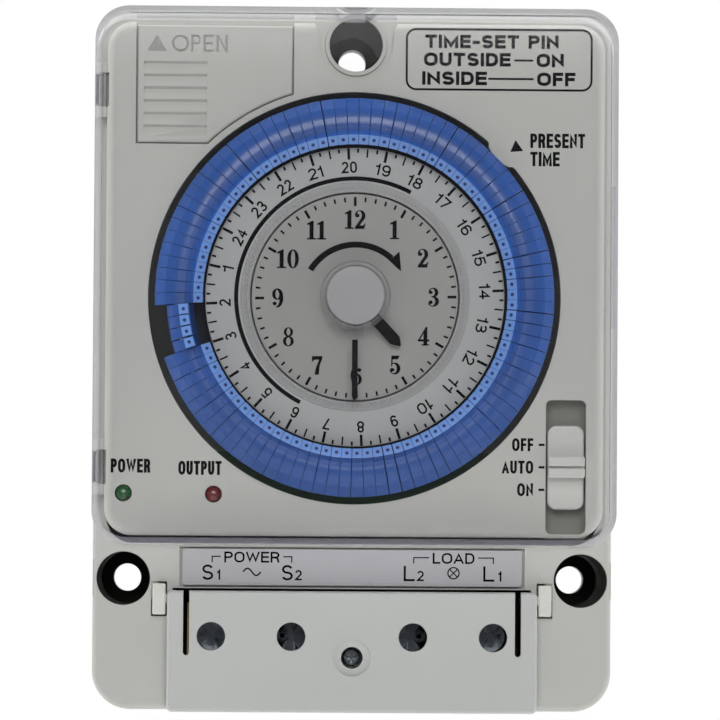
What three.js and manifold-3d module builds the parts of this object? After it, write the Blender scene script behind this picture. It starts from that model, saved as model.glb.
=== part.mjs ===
// Programmable timer: a 24 hour mechanical time switch with captive trip pins.
// Units are millimetres. +Z is up, the front faces -Y, +X is to the right seen from the front.
// The origin is the centre of the back face that rests on the wall.
//
// Everything is first drawn in "face space": x right, y up, z out from the wall ("depth").
// The last step turns face space into the part's own frame.

import * as THREE from "three";
import * as BufferGeometryUtils from "three/addons/utils/BufferGeometryUtils.js";
import Module from "manifold-3d";

const wasm = await Module();
wasm.setup();

// ---------------------------------------------------------------- driving dimensions

const GAP = 0.3; // clearance between separate pieces
const BASE = { halfWidth: 44, bottom: -59, top: 59, front: 36, wall: 2.2, floor: 2.2, corner: 6.5 };
const PANEL = { left: -42.1, right: 42.3, bottom: -29.5, top: 57.5, back: 36.3, face: 41, skin: 2.2 };
const COVER = { left: -43.8, right: 43.8, bottom: -31.1, top: 59, back: 38.1, front: 53, wall: 1.2 };
const HINGE = { x: -42.6, depth: 38.1, barrel: 1.2, bore: 0.7, pin: 0.45, lug: 5.2, heights: [45.9, -18] };
const DIAL = { x: 0, y: 10.8, opening: 34.9, face: 44.6, drum: 25.2, seat: 30.6, seatTop: 40.9, discTop: 39.4 };
const PIN = { count: 96, freeCount: 8, pivotRadius: 30, pivotDepth: 45, flip: 40 };
const WELLS = [[-38.8, -36.8], [38.8, -36.8], [0, 53.8]];
const WELL = { radius: 4.55, hole: 2.4, seat: 5, rim: 6 };
const TERMINAL_X = [-23.85, -10.3, 10.3, 23.85];
const TERMINAL_Y = -46.5;
const DOOR = { left: -37, right: -10.7, bottom: 36.9, top: 56.8, cut: 36.15 };
const SLOT = { left: 32.5, right: 39.3, bottom: -28.9, top: -6.2 };
const LEDS = [[-38.8, -22.4], [-23.6, -22.5]];

const PRESENT_ANGLE = 44.8; // direction of the "present time" pointer
const HOUR_20_ANGLE = 92.9; // where the dial's 20 h mark stands at rest

// Gear train: module, teeth, and the depth range of each wheel.
const GEARS = {
  motorPinion: { teeth: 9, module: 0.8, from: 14.6, to: 16.4 },
  centreWheel: { teeth: 45, module: 0.8, from: 14.8, to: 16.2 },
  minutePinion: { teeth: 10, module: 0.9, from: 18.8, to: 21.4 },
  intermediateWheel: { teeth: 30, module: 0.9, from: 19.3, to: 20.9 },
  intermediatePinion: { teeth: 10, module: 0.72, from: 20.9, to: 25.6 },
  hourWheel: { teeth: 40, module: 0.72, from: 23.3, to: 24.9 },
  hourGear: { teeth: 20, module: 0.9, from: 26.6, to: 28.2 },
  idlerWheel: { teeth: 20, module: 0.9, from: 26.6, to: 28.2 },
  idlerPinion: { teeth: 14, module: 6 / 7, from: 30.7, to: 32.5 },
  dialGear: { teeth: 28, module: 6 / 7, from: 30.9, to: 32.3 },
};
const MOTOR_ANGLE = 90;
const INTERMEDIATE_ANGLE = 0;
const IDLER_ANGLE = 180;
const REAR_PLATE = [12.2, 13.4];
const MID_PLATE = [17.2, 18.2];
const BRIDGE_PLATE = [29.2, 30.3];
const POSTS = [[-20.5, -10], [20.5, -10], [-20.5, 33.5], [20.5, 33.5]];

const COLOURS = {
  housing: { color: 0xbabbb5, roughness: 0.5, metalness: 0 },
  grey: { color: 0xa8a6ad, roughness: 0.5, metalness: 0 },
  clip: { color: 0xd8d8d2, roughness: 0.45, metalness: 0 },
  clear: { color: 0xe4e6f2, roughness: 0.08, metalness: 0 },
  blue: { color: 0x3c6fc4, roughness: 0.3, metalness: 0 },
  dial: { color: 0xc9cac6, roughness: 0.4, metalness: 0 },
  black: { color: 0x191919, roughness: 0.5, metalness: 0 },
  movement: { color: 0xe8e3d2, roughness: 0.5, metalness: 0 },
  steel: { color: 0x9a9ca0, roughness: 0.3, metalness: 1 },
  brass: { color: 0xb59a52, roughness: 0.3, metalness: 1 },
  board: { color: 0x2f6b3c, roughness: 0.5, metalness: 0 },
  green: { color: 0x1f6a2a, roughness: 0.25, metalness: 0 },
  red: { color: 0x7a1416, roughness: 0.25, metalness: 0 },
  relay: { color: 0x2a4f8c, roughness: 0.5, metalness: 0 },
};

// ---------------------------------------------------------------- solids

const rad = (degrees) => (degrees * Math.PI) / 180;
const polar = (radius, degrees, cx = 0, cy = 0) => [
  cx + radius * Math.cos(rad(degrees)),
  cy + radius * Math.sin(rad(degrees)),
];

function signedVolume(positions, index) {
  const a = new THREE.Vector3();
  const b = new THREE.Vector3();
  const c = new THREE.Vector3();
  let volume = 0;
  for (let i = 0; i < index.length; i += 3) {
    a.fromArray(positions, index[i] * 3);
    b.fromArray(positions, index[i + 1] * 3);
    c.fromArray(positions, index[i + 2] * 3);
    volume += a.dot(b.cross(c)) / 6;
  }
  return volume;
}

// A three.js geometry as a manifold solid, facing out whichever way it was drawn.
function solid(geometry) {
  const bare = new THREE.BufferGeometry();
  bare.setAttribute("position", geometry.getAttribute("position"));
  bare.setIndex(geometry.getIndex());
  const merged = BufferGeometryUtils.mergeVertices(bare, 1e-4);
  const positions = new Float32Array(merged.getAttribute("position").array);
  const index = new Uint32Array(merged.getIndex().array);
  if (signedVolume(positions, index) < 0) {
    for (let i = 0; i < index.length; i += 3) {
      [index[i], index[i + 1]] = [index[i + 1], index[i]];
    }
  }
  return new wasm.Manifold(new wasm.Mesh({ numProp: 3, vertProperties: positions, triVerts: index }));
}

const unite = (...solids) => solids.reduce((sum, next) => sum.add(next));
const cut = (body, ...tools) => tools.reduce((rest, tool) => rest.subtract(tool), body);

// A closed outline pushed out from depth "from" to depth "to".
function prism(points, from, to, bevel = 0, bevelSegments = 2) {
  const shape = new THREE.Shape(points.map(([x, y]) => new THREE.Vector2(x, y)));
  const geometry = new THREE.ExtrudeGeometry(shape, {
    depth: to - from - 2 * bevel,
    bevelEnabled: bevel > 0,
    bevelThickness: bevel,
    bevelSize: bevel,
    bevelOffset: -bevel,
    bevelSegments,
  });
  geometry.translate(0, 0, from + bevel);
  return solid(geometry);
}

// Outline of a rectangle whose corners have radius r, four or a few points to a corner.
function rectangle(left, bottom, right, top, r = 0, steps = 4) {
  if (r === 0) {
    return [[left, bottom], [right, bottom], [right, top], [left, top]];
  }
  const centres = [
    [right - r, top - r, 0],
    [left + r, top - r, 90],
    [left + r, bottom + r, 180],
    [right - r, bottom + r, 270],
  ];
  const points = [];
  for (const [x, y, start] of centres) {
    for (let i = 0; i <= steps; i += 1) {
      points.push(polar(r, start + (90 * i) / steps, x, y));
    }
  }
  return points;
}

function circle(radius, x = 0, y = 0, sides = 16, phase = 0) {
  const points = [];
  for (let i = 0; i < sides; i += 1) {
    points.push(polar(radius, phase + (360 * i) / sides, x, y));
  }
  return points;
}

const box = (left, bottom, from, right, top, to) => prism(rectangle(left, bottom, right, top), from, to);
const rod = (radius, x, y, from, to, sides = 16) => prism(circle(radius, x, y, sides), from, to);

function tube(outer, inner, x, y, from, to, sides = 16) {
  return cut(rod(outer, x, y, from, to, sides), rod(inner, x, y, from - 1, to + 1, sides));
}

// A solid turned about the depth axis through (x, y); the profile is [radius, depth] pairs.
function turned(profile, x, y, sides = 32) {
  const closed = [...profile, profile[0]];
  const geometry = new THREE.LatheGeometry(closed.map(([r, z]) => new THREE.Vector2(r, z)), sides);
  geometry.rotateX(Math.PI / 2);
  geometry.translate(x, y, 0);
  return solid(geometry);
}

// A rod along the up axis, for hinge barrels and pins.
function uprightRod(radius, x, depth, from, to, sides = 12) {
  const geometry = new THREE.CylinderGeometry(radius, radius, to - from, sides);
  geometry.translate(x, (from + to) / 2, depth);
  return solid(geometry);
}

// Spur gear outline: flat-topped trapezoid teeth, thinner than half the pitch so they run free.
function gearOutline({ teeth, module }, x, y, phase) {
  const pitch = (teeth * module) / 2;
  const tip = pitch + module * 0.85;
  const root = pitch - module * 1.15;
  const step = 360 / teeth;
  const points = [];
  for (let i = 0; i < teeth; i += 1) {
    const middle = phase + i * step;
    points.push(polar(root, middle - step * 0.29, x, y));
    points.push(polar(tip, middle - step * 0.1, x, y));
    points.push(polar(tip, middle + step * 0.1, x, y));
    points.push(polar(root, middle + step * 0.29, x, y));
  }
  return points;
}

const gear = (spec, x, y, phase) => prism(gearOutline(spec, x, y, phase), spec.from, spec.to);
const pitchRadius = (spec) => (spec.teeth * spec.module) / 2;

// Sections of a radial profile ([radius, depth] pairs) set round the dial axis and skinned together.
// A loop lists profile points counter-clockwise, seen with the radius to the right and depth up.
class DialSweep {
  constructor(profile) {
    this.contour = profile.map(([r, z]) => new THREE.Vector2(r, z));
    this.points = [];
    this.index = [];
  }

  section(degrees) {
    const start = this.points.length / 3;
    for (const point of this.contour) {
      this.points.push(...polar(point.x, degrees, DIAL.x, DIAL.y), point.y);
    }
    return start;
  }

  skin(loop, from, to) {
    loop.forEach((a, i) => {
      const b = loop[(i + 1) % loop.length];
      this.index.push(from + b, from + a, to + a, from + b, to + a, to + b);
    });
  }

  cap(loop, start, facesBack) {
    const faces = THREE.ShapeUtils.triangulateShape(loop.map((k) => this.contour[k]), []);
    for (const face of faces) {
      const [a, b, c] = face.map((k) => start + loop[k]);
      this.index.push(a, facesBack ? b : c, facesBack ? c : b);
    }
  }

  solid() {
    const geometry = new THREE.BufferGeometry();
    geometry.setAttribute("position", new THREE.Float32BufferAttribute(this.points, 3));
    geometry.setIndex(this.index);
    return solid(geometry);
  }
}

function dialSegment(profile, fromDegrees, toDegrees) {
  const sweep = new DialSweep(profile);
  const loop = profile.map((_, i) => i);
  const from = sweep.section(fromDegrees);
  const to = sweep.section(toDegrees);
  sweep.skin(loop, from, to);
  sweep.cap(loop, from, true);
  sweep.cap(loop, to, false);
  return sweep.solid();
}

// ---------------------------------------------------------------- collecting the meshes

const part = new THREE.Group();
part.name = "programmable_timer";

function add(name, body, finish) {
  const mesh = body.getMesh();
  const geometry = new THREE.BufferGeometry();
  geometry.setAttribute("position", new THREE.Float32BufferAttribute(mesh.vertProperties, 3));
  geometry.setIndex(new THREE.Uint32BufferAttribute(mesh.triVerts, 1));
  geometry.rotateX(Math.PI / 2);
  geometry.computeVertexNormals();
  const node = new THREE.Mesh(geometry, new THREE.MeshStandardMaterial(COLOURS[finish]));
  node.name = name;
  part.add(node);
}

// ---------------------------------------------------------------- rear housing

function rearHousing() {
  const { halfWidth, bottom, top, front, wall, floor, corner } = BASE;
  const outline = rectangle(-halfWidth, bottom, halfWidth, top, corner);
  let body = prism(outline, 0, front, 1, 1);
  const inside = rectangle(-halfWidth + wall, -30.8, halfWidth - wall, top - wall, 4.5);
  body = cut(body, prism(inside, floor, front + 1));

  // The compartment for the terminals, open to the front and to the wires from below.
  body = cut(body, box(-30.4, bottom + wall, floor + 8, 30.4, -38.4, front + 1));
  for (const x of TERMINAL_X) {
    body = cut(body, box(x - 4, bottom - 1, 21.5, x + 4, bottom + wall + 1, 31.5));
  }
  // Posts that carry the movement.
  for (const [x, y] of POSTS) {
    body = unite(body, rod(3, x, y, floor - 1, REAR_PLATE[0] - 0.05, 12));
    body = unite(body, rod(2.2, x, y, floor, MID_PLATE[0] - 0.05, 12));
    body = unite(body, rod(1.5, x, y, floor, BRIDGE_PLATE[1] + 1, 12));
  }
  // Screw wells: a wall around each, a round pocket, and a hole through the back.
  const within = prism(outline, 1, front - 0.6);
  for (const [x, y] of WELLS) {
    body = unite(body, within.intersect(rod(WELL.rim, x, y, 0, front, 20)));
  }
  for (const [x, y] of WELLS) {
    body = cut(body, rod(WELL.radius, x, y, WELL.seat, front + 1, 20));
    body = cut(body, rod(WELL.hole, x, y, -1, WELL.seat + 1, 16));
  }
  // Groove that the label plate lies in, and the pockets of the two cover clips.
  body = cut(body, box(-29.3, -38.2, front - 0.8, 29.3, -31.4, front + 1));
  for (const side of [-1, 1]) {
    const x = side * 32.7;
    body = cut(body, box(x - 1.5, -43.3, front - 2.4, x + 1.5, -37.2, front + 1));
  }
  return body;
}

// ---------------------------------------------------------------- front panel

function doorOutline(grow) {
  const right = DOOR.right + grow;
  const bottom = DOOR.bottom - grow;
  const radius = DOOR.cut - grow;
  const points = [[DOOR.left - grow, bottom]];
  const start = 180 - (Math.asin((bottom - DIAL.y) / radius) * 180) / Math.PI;
  const end = (Math.acos(right / radius) * 180) / Math.PI;
  const steps = 6;
  for (let i = 0; i <= steps; i += 1) {
    points.push(polar(radius, start + ((end - start) * i) / steps, DIAL.x, DIAL.y));
  }
  const top = grow > 0 ? PANEL.top + 1 : DOOR.top;
  points.push([right, top], [DOOR.left - grow, top]);
  return points;
}

function frontPanel() {
  const { left, right, bottom, top, back, face, skin } = PANEL;
  const outline = rectangle(left, bottom, right, top, 4.6);
  let body = prism(outline, back - 1.4, face, 1.4, 2);
  body = cut(body, box(left - 1, bottom - 1, back - 3, right + 1, top + 1, back));
  body = cut(body, prism(rectangle(left + 1.8, bottom + 1.8, right - 1.8, top - 1.8, 2), back - 1, face - skin));

  // Dial well: a collar that reaches back past the trip pins, with the pointer tab on its rim.
  const collar = tube(DIAL.opening + 1.5, DIAL.opening, DIAL.x, DIAL.y, 38.3, face - 1, 48);
  body = cut(body, rod(DIAL.opening, DIAL.x, DIAL.y, back - 1, face + 1, 48));
  body = unite(body, cut(collar, box(-50, -31, 30, 50, bottom + 0.5, 45)));
  const [tabX, tabY] = polar(35.7, PRESENT_ANGLE, DIAL.x, DIAL.y);
  body = unite(body, rod(2.3, tabX, tabY, face - 2, face - 0.2, 16));

  // Upper screw well: the panel stops short of the housing's own well.
  body = cut(body, box(-6.5, 53.8, back - 1, 6.5, top + 1, face + 1));
  body = cut(body, rod(6.5, 0, 53.8, back - 1, face + 1, 20));

  // Battery door pocket with a battery well under it.
  body = cut(body, prism(doorOutline(GAP), face - 1.7, face + 1));
  body = cut(body, box(DOOR.left + 2, DOOR.bottom + 6, back, DOOR.right - 6, DOOR.top - 3, face));

  // Switch slot and indicator holes.
  body = cut(body, prism(rectangle(SLOT.left, SLOT.bottom, SLOT.right, SLOT.top, 1, 2), back - 1, face + 1));
  for (const [x, y] of LEDS) {
    body = cut(body, rod(1.33 + GAP, x, y, back - 1, face + 1, 12));
  }

  // Clear cover hinge: two ears either side of each barrel, and room for the barrel itself.
  for (const height of HINGE.heights) {
    const half = HINGE.lug / 2 + GAP;
    body = cut(body, box(left - 1, height - half, back - 1, HINGE.x + HINGE.barrel + 0.4, height + half, face - 0.9));
    for (const side of [-1, 1]) {
      const a = height + side * half;
      const b = height + side * (half + 1.8);
      const ear = uprightRod(HINGE.barrel, HINGE.x, HINGE.depth, Math.min(a, b), Math.max(a, b));
      const root = box(HINGE.x, Math.min(a, b), back + 0.7, left + 1.5, Math.max(a, b), back + 2.8);
      body = unite(body, ear, root);
      body = cut(body, uprightRod(HINGE.pin + 0.03, HINGE.x, HINGE.depth, Math.min(a, b) - 1, Math.max(a, b) + 1));
    }
  }
  return body;
}

// ---------------------------------------------------------------- clear cover

function clearCover() {
  const { left, right, bottom, top, back, front, wall } = COVER;
  let body = prism(rectangle(left, bottom, right, top, 5.7, 5), back - 2, front, 1.1, 3);
  const inside = rectangle(left + wall, bottom + wall, right - wall, top - wall, 4.5, 5);
  body = cut(body, prism(inside, back - 3, front - wall - 0.4));
  body = cut(body, box(left - 1, bottom - 1, back - 4, right + 1, top + 1, back));
  for (const height of HINGE.heights) {
    const half = HINGE.lug / 2;
    const reach = half + GAP + 1.8 + GAP;
    body = cut(body, box(left - 1, height - reach, back - 1, left + wall + 0.2, height + reach, back + 1.7));
    body = unite(body, uprightRod(HINGE.barrel, HINGE.x, HINGE.depth, height - half, height + half));
    body = unite(body, box(left, height - half, back, HINGE.x + 0.2, height + half, back + 1.7));
    body = cut(body, uprightRod(HINGE.bore, HINGE.x, HINGE.depth, height - 4, height + 4));
  }
  // Finger lip on the free edge.
  body = unite(body, box(right - 0.3, 6, back + 0.4, right + 0.2, 30, back + 2.4));
  return body;
}

// ---------------------------------------------------------------- trip pins

// Profile of one pin in the inside (off) position, as [radius, depth] pairs.
const PIN_PROFILE = [
  [29.2, 41.4],
  [30.8, 41.4],
  [33.7, 43.2],
  [31.4, 45.9],
  [27.6, 46.9],
  [27.2, 47.95],
  [25.5, 47.3],
  [28.4, 44.0],
];
// The web that joins a fixed pin to the next rises from the first two profile points to these two.
const PIN_WEB_TOP = [[29.2, 42.8], [30.8, 42.8]];
const PIN_LOOP = [0, 1, 2, 3, 4, 5, 6, 7];
const WEB_LOOP = [0, 1, 9, 8];
const PIN_WITHOUT_WEB_LOOP = [0, 8, 9, 1, 2, 3, 4, 5, 6, 7];
const pitch = 360 / PIN.count;
const PIN_FILL = 0.8; // share of the pitch that a pin fills

// Pin i is centred on angle i * pitch from the 2 h position, counted counter-clockwise.
const hourAngle = (hour) => HOUR_20_ANGLE + 15 * (hour - 20);
const firstFreeAngle = hourAngle(26) + pitch / 2;

const halfPin = (pitch * PIN_FILL) / 2;

// The fixed arc of pins: each pin a full profile, joined to the next by a narrow web.
function joinedPins() {
  const sweep = new DialSweep([...PIN_PROFILE, ...PIN_WEB_TOP]);
  const first = firstFreeAngle + PIN.freeCount * pitch;
  const count = PIN.count - PIN.freeCount;
  let lastEnd = null;
  for (let i = 0; i < count; i += 1) {
    const start = sweep.section(first + i * pitch - halfPin);
    const end = sweep.section(first + i * pitch + halfPin);
    if (i > 0) {
      sweep.cap(PIN_WITHOUT_WEB_LOOP, lastEnd, false);
      sweep.skin(WEB_LOOP, lastEnd, start);
    }
    sweep.cap(i > 0 ? PIN_WITHOUT_WEB_LOOP : PIN_LOOP, start, true);
    sweep.skin(PIN_LOOP, start, end);
    lastEnd = end;
  }
  sweep.cap(PIN_LOOP, lastEnd, false);
  // Blind holes that take the ends of the pivot wire.
  const holes = wireArc(0.7, firstFreeAngle - pitch * 0.95, firstFreeAngle + (PIN.freeCount - 0.05) * pitch);
  return cut(sweep.solid(), holes);
}

function wireArc(radius, fromDegrees, toDegrees, steps = 10) {
  class DialArc extends THREE.Curve {
    getPoint(t, target = new THREE.Vector3()) {
      const degrees = fromDegrees + (toDegrees - fromDegrees) * t;
      const [x, y] = polar(PIN.pivotRadius, degrees, DIAL.x, DIAL.y);
      return target.set(x, y, PIN.pivotDepth);
    }
  }
  const shape = new THREE.Shape(circle(radius, 0, 0, 6).map(([x, y]) => new THREE.Vector2(x, y)));
  const geometry = new THREE.ExtrudeGeometry(shape, {
    steps,
    extrudePath: new DialArc(),
    bevelEnabled: false,
  });
  return solid(geometry);
}

// One free pin, cut for the pivot wire; flipped ones are turned outwards about the wire.
function freePin(middle, flip) {
  let profile = PIN_PROFILE;
  if (flip !== 0) {
    const c = Math.cos(rad(-flip));
    const s = Math.sin(rad(-flip));
    profile = PIN_PROFILE.map(([r, z]) => {
      const dr = r - PIN.pivotRadius;
      const dz = z - PIN.pivotDepth;
      return [PIN.pivotRadius + dr * c - dz * s, PIN.pivotDepth + dr * s + dz * c];
    });
  }
  const body = dialSegment(profile, middle - halfPin, middle + halfPin);
  return cut(body, wireArc(0.75, middle - pitch, middle + pitch, 1));
}

// ---------------------------------------------------------------- dial and clock work

const [midX, midY] = polar(18, INTERMEDIATE_ANGLE, DIAL.x, DIAL.y);
const [idlerX, idlerY] = polar(18, IDLER_ANGLE, DIAL.x, DIAL.y);
const motorDistance = pitchRadius(GEARS.motorPinion) + pitchRadius(GEARS.centreWheel);
const [motorX, motorY] = polar(motorDistance, MOTOR_ANGLE, DIAL.x, DIAL.y);

// Phase that puts a gap of the driven gear where the driver has a tooth on the line of centres.
const facing = (spec, direction) => direction + 180 + 180 / spec.teeth;

function dialRing() {
  const { x, y, face, drum, seat, seatTop, discTop } = DIAL;
  const low = GEARS.dialGear.from;
  let body = turned(
    [
      [4.1, low],
      [6.2, low],
      [6.2, 38.2],
      [seat, 38.2],
      [seat, seatTop],
      [drum, seatTop],
      [drum, face],
      [19.3, face],
      [19.3, face + 1],
      [17.7, face + 1],
      [17.7, face - 1.2],
      [drum - 1.2, face - 1.2],
      [drum - 1.2, discTop],
      [4.1, discTop],
    ],
    x,
    y,
    40,
  );
  const wheel = cut(gear(GEARS.dialGear, x, y, IDLER_ANGLE), rod(5, x, y, 0, 60, 16));
  body = unite(body, wheel);
  return body;
}

function clockFace() {
  const { x, y, face } = DIAL;
  return turned(
    [
      [2.9, BRIDGE_PLATE[1] - 0.8],
      [3.8, BRIDGE_PLATE[1] - 0.8],
      [3.8, face - 1.4],
      [17.4, face - 1.4],
      [17.4, face - 0.2],
      [2.9, face - 0.2],
    ],
    x,
    y,
    40,
  );
}

function settingKnob() {
  const { x, y } = DIAL;
  let body = turned([[0, 47.4], [5.8, 47.4], [5.8, 48.3], [4.85, 48.3], [4.85, 50.2], [4.55, 50.5], [0, 50.5]], x, y, 28);
  body = unite(body, box(x - 1.1, y - 7.4, 47.4, x + 1.1, y - 3, 48.0));
  return cut(body, rod(1.05, x, y, 47, 49, 12));
}

function minuteHand() {
  const { x, y } = DIAL;
  const half = 0.475;
  const outline = [
    [x - half, y - 7.6],
    [x - half, y - 16.4],
    [x, y - 17.4],
    [x + half, y - 16.4],
    [x + half, y - 7.6],
  ];
  return prism(outline, 47.4, 47.9);
}

function minuteArbor() {
  const { x, y } = DIAL;
  let body = rod(1.2, x, y, 10.8, 46.9, 12);
  body = unite(body, rod(0.85, x, y, 46, 48.8, 12));
  body = unite(body, gear(GEARS.minutePinion, x, y, INTERMEDIATE_ANGLE));
  return body;
}

function centreWheel() {
  const { x, y } = DIAL;
  return cut(gear(GEARS.centreWheel, x, y, MOTOR_ANGLE), rod(1.25, x, y, 0, 60, 12));
}

function hourWheel() {
  const { x, y } = DIAL;
  let body = rod(2.3, x, y, GEARS.hourWheel.from, 46.2, 14);
  body = unite(body, gear(GEARS.hourWheel, x, y, facing(GEARS.hourWheel, INTERMEDIATE_ANGLE + 180)));
  body = unite(body, gear(GEARS.hourGear, x, y, IDLER_ANGLE));
  return cut(body, rod(1.55, x, y, 0, 60, 12));
}

function hourHand() {
  const { x, y } = DIAL;
  const outline = [[2.4, -0.95], [9.4, -1.05], [11.6, 0], [9.4, 1.05], [2.4, 0.95]];
  const angle = rad(-47);
  const turnedOutline = outline.map(([px, py]) => [
    x + px * Math.cos(angle) - py * Math.sin(angle),
    y + px * Math.sin(angle) + py * Math.cos(angle),
  ]);
  const hub = rod(3.4, x, y, 45.6, 46.2, 20);
  return cut(unite(hub, prism(turnedOutline, 45.6, 46.2)), rod(2.35, x, y, 0, 60, 14));
}

function intermediateWheel() {
  let body = rod(1, midX, midY, MID_PLATE[0] + 0.1, BRIDGE_PLATE[1] - 0.1, 12);
  body = unite(body, gear(GEARS.intermediateWheel, midX, midY, facing(GEARS.intermediateWheel, INTERMEDIATE_ANGLE)));
  return unite(body, gear(GEARS.intermediatePinion, midX, midY, INTERMEDIATE_ANGLE + 180));
}

function idlerWheel() {
  let body = rod(1, idlerX, idlerY, MID_PLATE[0] + 0.1, GEARS.idlerPinion.to, 12);
  body = unite(body, gear(GEARS.idlerWheel, idlerX, idlerY, facing(GEARS.idlerWheel, IDLER_ANGLE)));
  return unite(body, gear(GEARS.idlerPinion, idlerX, idlerY, facing(GEARS.idlerPinion, IDLER_ANGLE)));
}

function motorPinion() {
  const shaft = rod(0.9, motorX, motorY, 11.2, GEARS.motorPinion.to, 10);
  return unite(shaft, gear(GEARS.motorPinion, motorX, motorY, facing(GEARS.motorPinion, MOTOR_ANGLE)));
}

// A movement plate with holes for the posts and for the arbors that pass through it.
function movementPlate([from, to], reach, holes) {
  let body = prism(rectangle(-24, -13.5, 24, 37, 3, 2), from, to);
  for (const [x, y] of POSTS) {
    body = cut(body, rod(reach, x, y, from - 1, to + 1, 12));
  }
  for (const [x, y, radius] of holes) {
    body = cut(body, rod(radius, x, y, from - 1, to + 1, 16));
  }
  return body;
}

function bridgePlate() {
  return movementPlate(BRIDGE_PLATE, 1.6, [
    [DIAL.x, DIAL.y, 4.1],
    [midX, midY, 1.15],
    [idlerX, idlerY, 1.15],
  ]);
}

// ---------------------------------------------------------------- electrical pieces

function terminalBlock() {
  let body = box(-30, -56.4, 10.6, 30, -38.8, 30.4);
  for (const x of TERMINAL_X) {
    body = cut(body, box(x - 4.6, -57, 21.2, x + 4.6, -40.2, 31));
    body = cut(body, rod(1.8, x, TERMINAL_Y, 14, 22, 12));
  }
  return cut(body, rod(1.25, 0, -50, 16, 31, 12));
}

function terminalPlate(x) {
  const plate = box(x - 4.2, -51.5, 23.4, x + 4.2, -41, 24.4);
  const leg = box(x - 4.2, -42, 21.5, x + 4.2, -41, 24.4);
  return cut(unite(plate, leg), rod(1.75, x, TERMINAL_Y, 20, 30, 12));
}

function crossScrew(headRadius, shankRadius, x, y, tip, seat, head) {
  let body = rod(headRadius, x, y, seat, seat + head, 14);
  body = unite(body, rod(shankRadius, x, y, tip, seat + 0.2, 8));
  const recess = headRadius * 0.62;
  const top = seat + head;
  body = cut(body, box(x - recess, y - 0.4, top - 0.9, x + recess, y + 0.4, top + 1));
  return cut(body, box(x - 0.4, y - recess, top - 0.9, x + 0.4, y + recess, top + 1));
}

function terminalCover() {
  const face = 39.6;
  let body = prism(rectangle(-31.3, -59.3, 31.3, -38.8, 0.9, 2), BASE.front + GAP - 0.6, face, 0.6, 1);
  body = cut(body, box(-40, -70, 30, 40, -30, BASE.front + GAP));
  body = cut(body, box(-29.6, -57.6, 30, 29.6, -40.4, face - 1.8));
  for (const side of [-1, 1]) {
    const x = side * 28.05;
    body = cut(body, prism(rectangle(x - 0.52, -49.7, x + 0.52, -38, 0.4, 2), 30, face + 1));
  }
  for (const x of TERMINAL_X) {
    body = cut(body, rod(2.42, x, TERMINAL_Y, 30, face + 1, 20));
  }
  body = unite(body, rod(4.2, 0, -50, 30.9, face - 0.6, 20));
  body = cut(body, rod(3.15, 0, -50, face - 0.7, face + 1, 24));
  body = cut(body, rod(1.85, 0, -50, 32.6, face + 1, 16));
  return cut(body, rod(1.2, 0, -50, 30, 33, 12));
}

function coverClip(side) {
  const x = side * 32.7;
  const outline = rectangle(x - 1.12, -42.9, x + 1.12, -37.6, 0.3, 1);
  return prism(outline, BASE.front - 2.1, BASE.front + 1.8, 0.25, 1);
}

function batteryDoor() {
  const face = PANEL.face;
  const from = face - 1.4;
  let body = prism(doorOutline(0), from, face - 0.1);
  for (let i = 0; i < 6; i += 1) {
    const y = 50.3 - 2.16 * i;
    body = cut(body, box(-35.9, y - 0.45, face - 0.7, -25.2, y + 0.45, face + 1));
  }
  return body;
}

function switchSlider() {
  const middle = -17.6;
  const body = prism(rectangle(32.8, middle - 7.1, 39.0, middle + 7.1, 1.5, 3), 38.4, 40.6, 0.3, 1);
  const stem = box(34.6, middle - 1.4, 33.2, 37.2, middle + 1.4, 38.6);
  const bar = cut(
    prism(rectangle(32.8, middle - 1.6, 39.0, middle + 1.6, 0.3, 1), 40, 43.4),
    box(32, middle - 0.35, 42.6, 40, middle + 0.35, 44),
  );
  return unite(body, stem, bar);
}

function slideSwitchBody() {
  const body = box(31.6, -27.8, 20.4, 40.2, -7.4, 32.6);
  return cut(body, box(34.2, -23.6, 31, 37.6, -11.6, 34));
}

function led([x, y]) {
  const lens = turned([[0, 27.6], [1.6, 27.6], [1.6, 35], [1.33, 35], [1.33, 40.4], [0.9, 41.1], [0, 41.3]], x, y, 12);
  return lens;
}

function followerLever() {
  const profile = [[31.6, 36.7], [38.4, 36.7], [38.4, 37.7], [32.8, 37.7], [32.8, 39.7], [31.6, 39.7]];
  return dialSegment(profile, PRESENT_ANGLE - 2.2, PRESENT_ANGLE + 2.2);
}

function microswitch() {
  const outline = rectangle(-3.2, -6.5, 3.2, 6.5);
  const angle = rad(PRESENT_ANGLE);
  const [cx, cy] = polar(40.5, PRESENT_ANGLE, DIAL.x, DIAL.y);
  const points = outline.map(([x, y]) => [
    cx + x * Math.cos(angle) - y * Math.sin(angle),
    cy + x * Math.sin(angle) + y * Math.cos(angle),
  ]);
  return prism(points, 22, 36.2);
}

// ---------------------------------------------------------------- assembly

add("rear_housing", rearHousing(), "housing");
add("front_panel", frontPanel(), "housing");
add("clear_cover", clearCover(), "clear");
HINGE.heights.forEach((height, i) => {
  const reach = HINGE.lug / 2 + GAP + 1.8;
  const name = i === 0 ? "cover_hinge_pin_upper" : "cover_hinge_pin_lower";
  add(name, uprightRod(HINGE.pin, HINGE.x, HINGE.depth, height - reach, height + reach), "steel");
});

add("dial_ring", dialRing(), "dial");
add("trip_pin_set", joinedPins(), "blue");
const wireStart = firstFreeAngle - pitch * 0.85;
add("pin_pivot_wire", wireArc(0.4, wireStart, firstFreeAngle + (PIN.freeCount - 0.15) * pitch), "steel");
for (let i = 0; i < PIN.freeCount; i += 1) {
  const flipped = i < PIN.freeCount / 2;
  add(`trip_pin_${i + 1}`, freePin(firstFreeAngle + i * pitch, flipped ? PIN.flip : 0), "blue");
}

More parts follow.
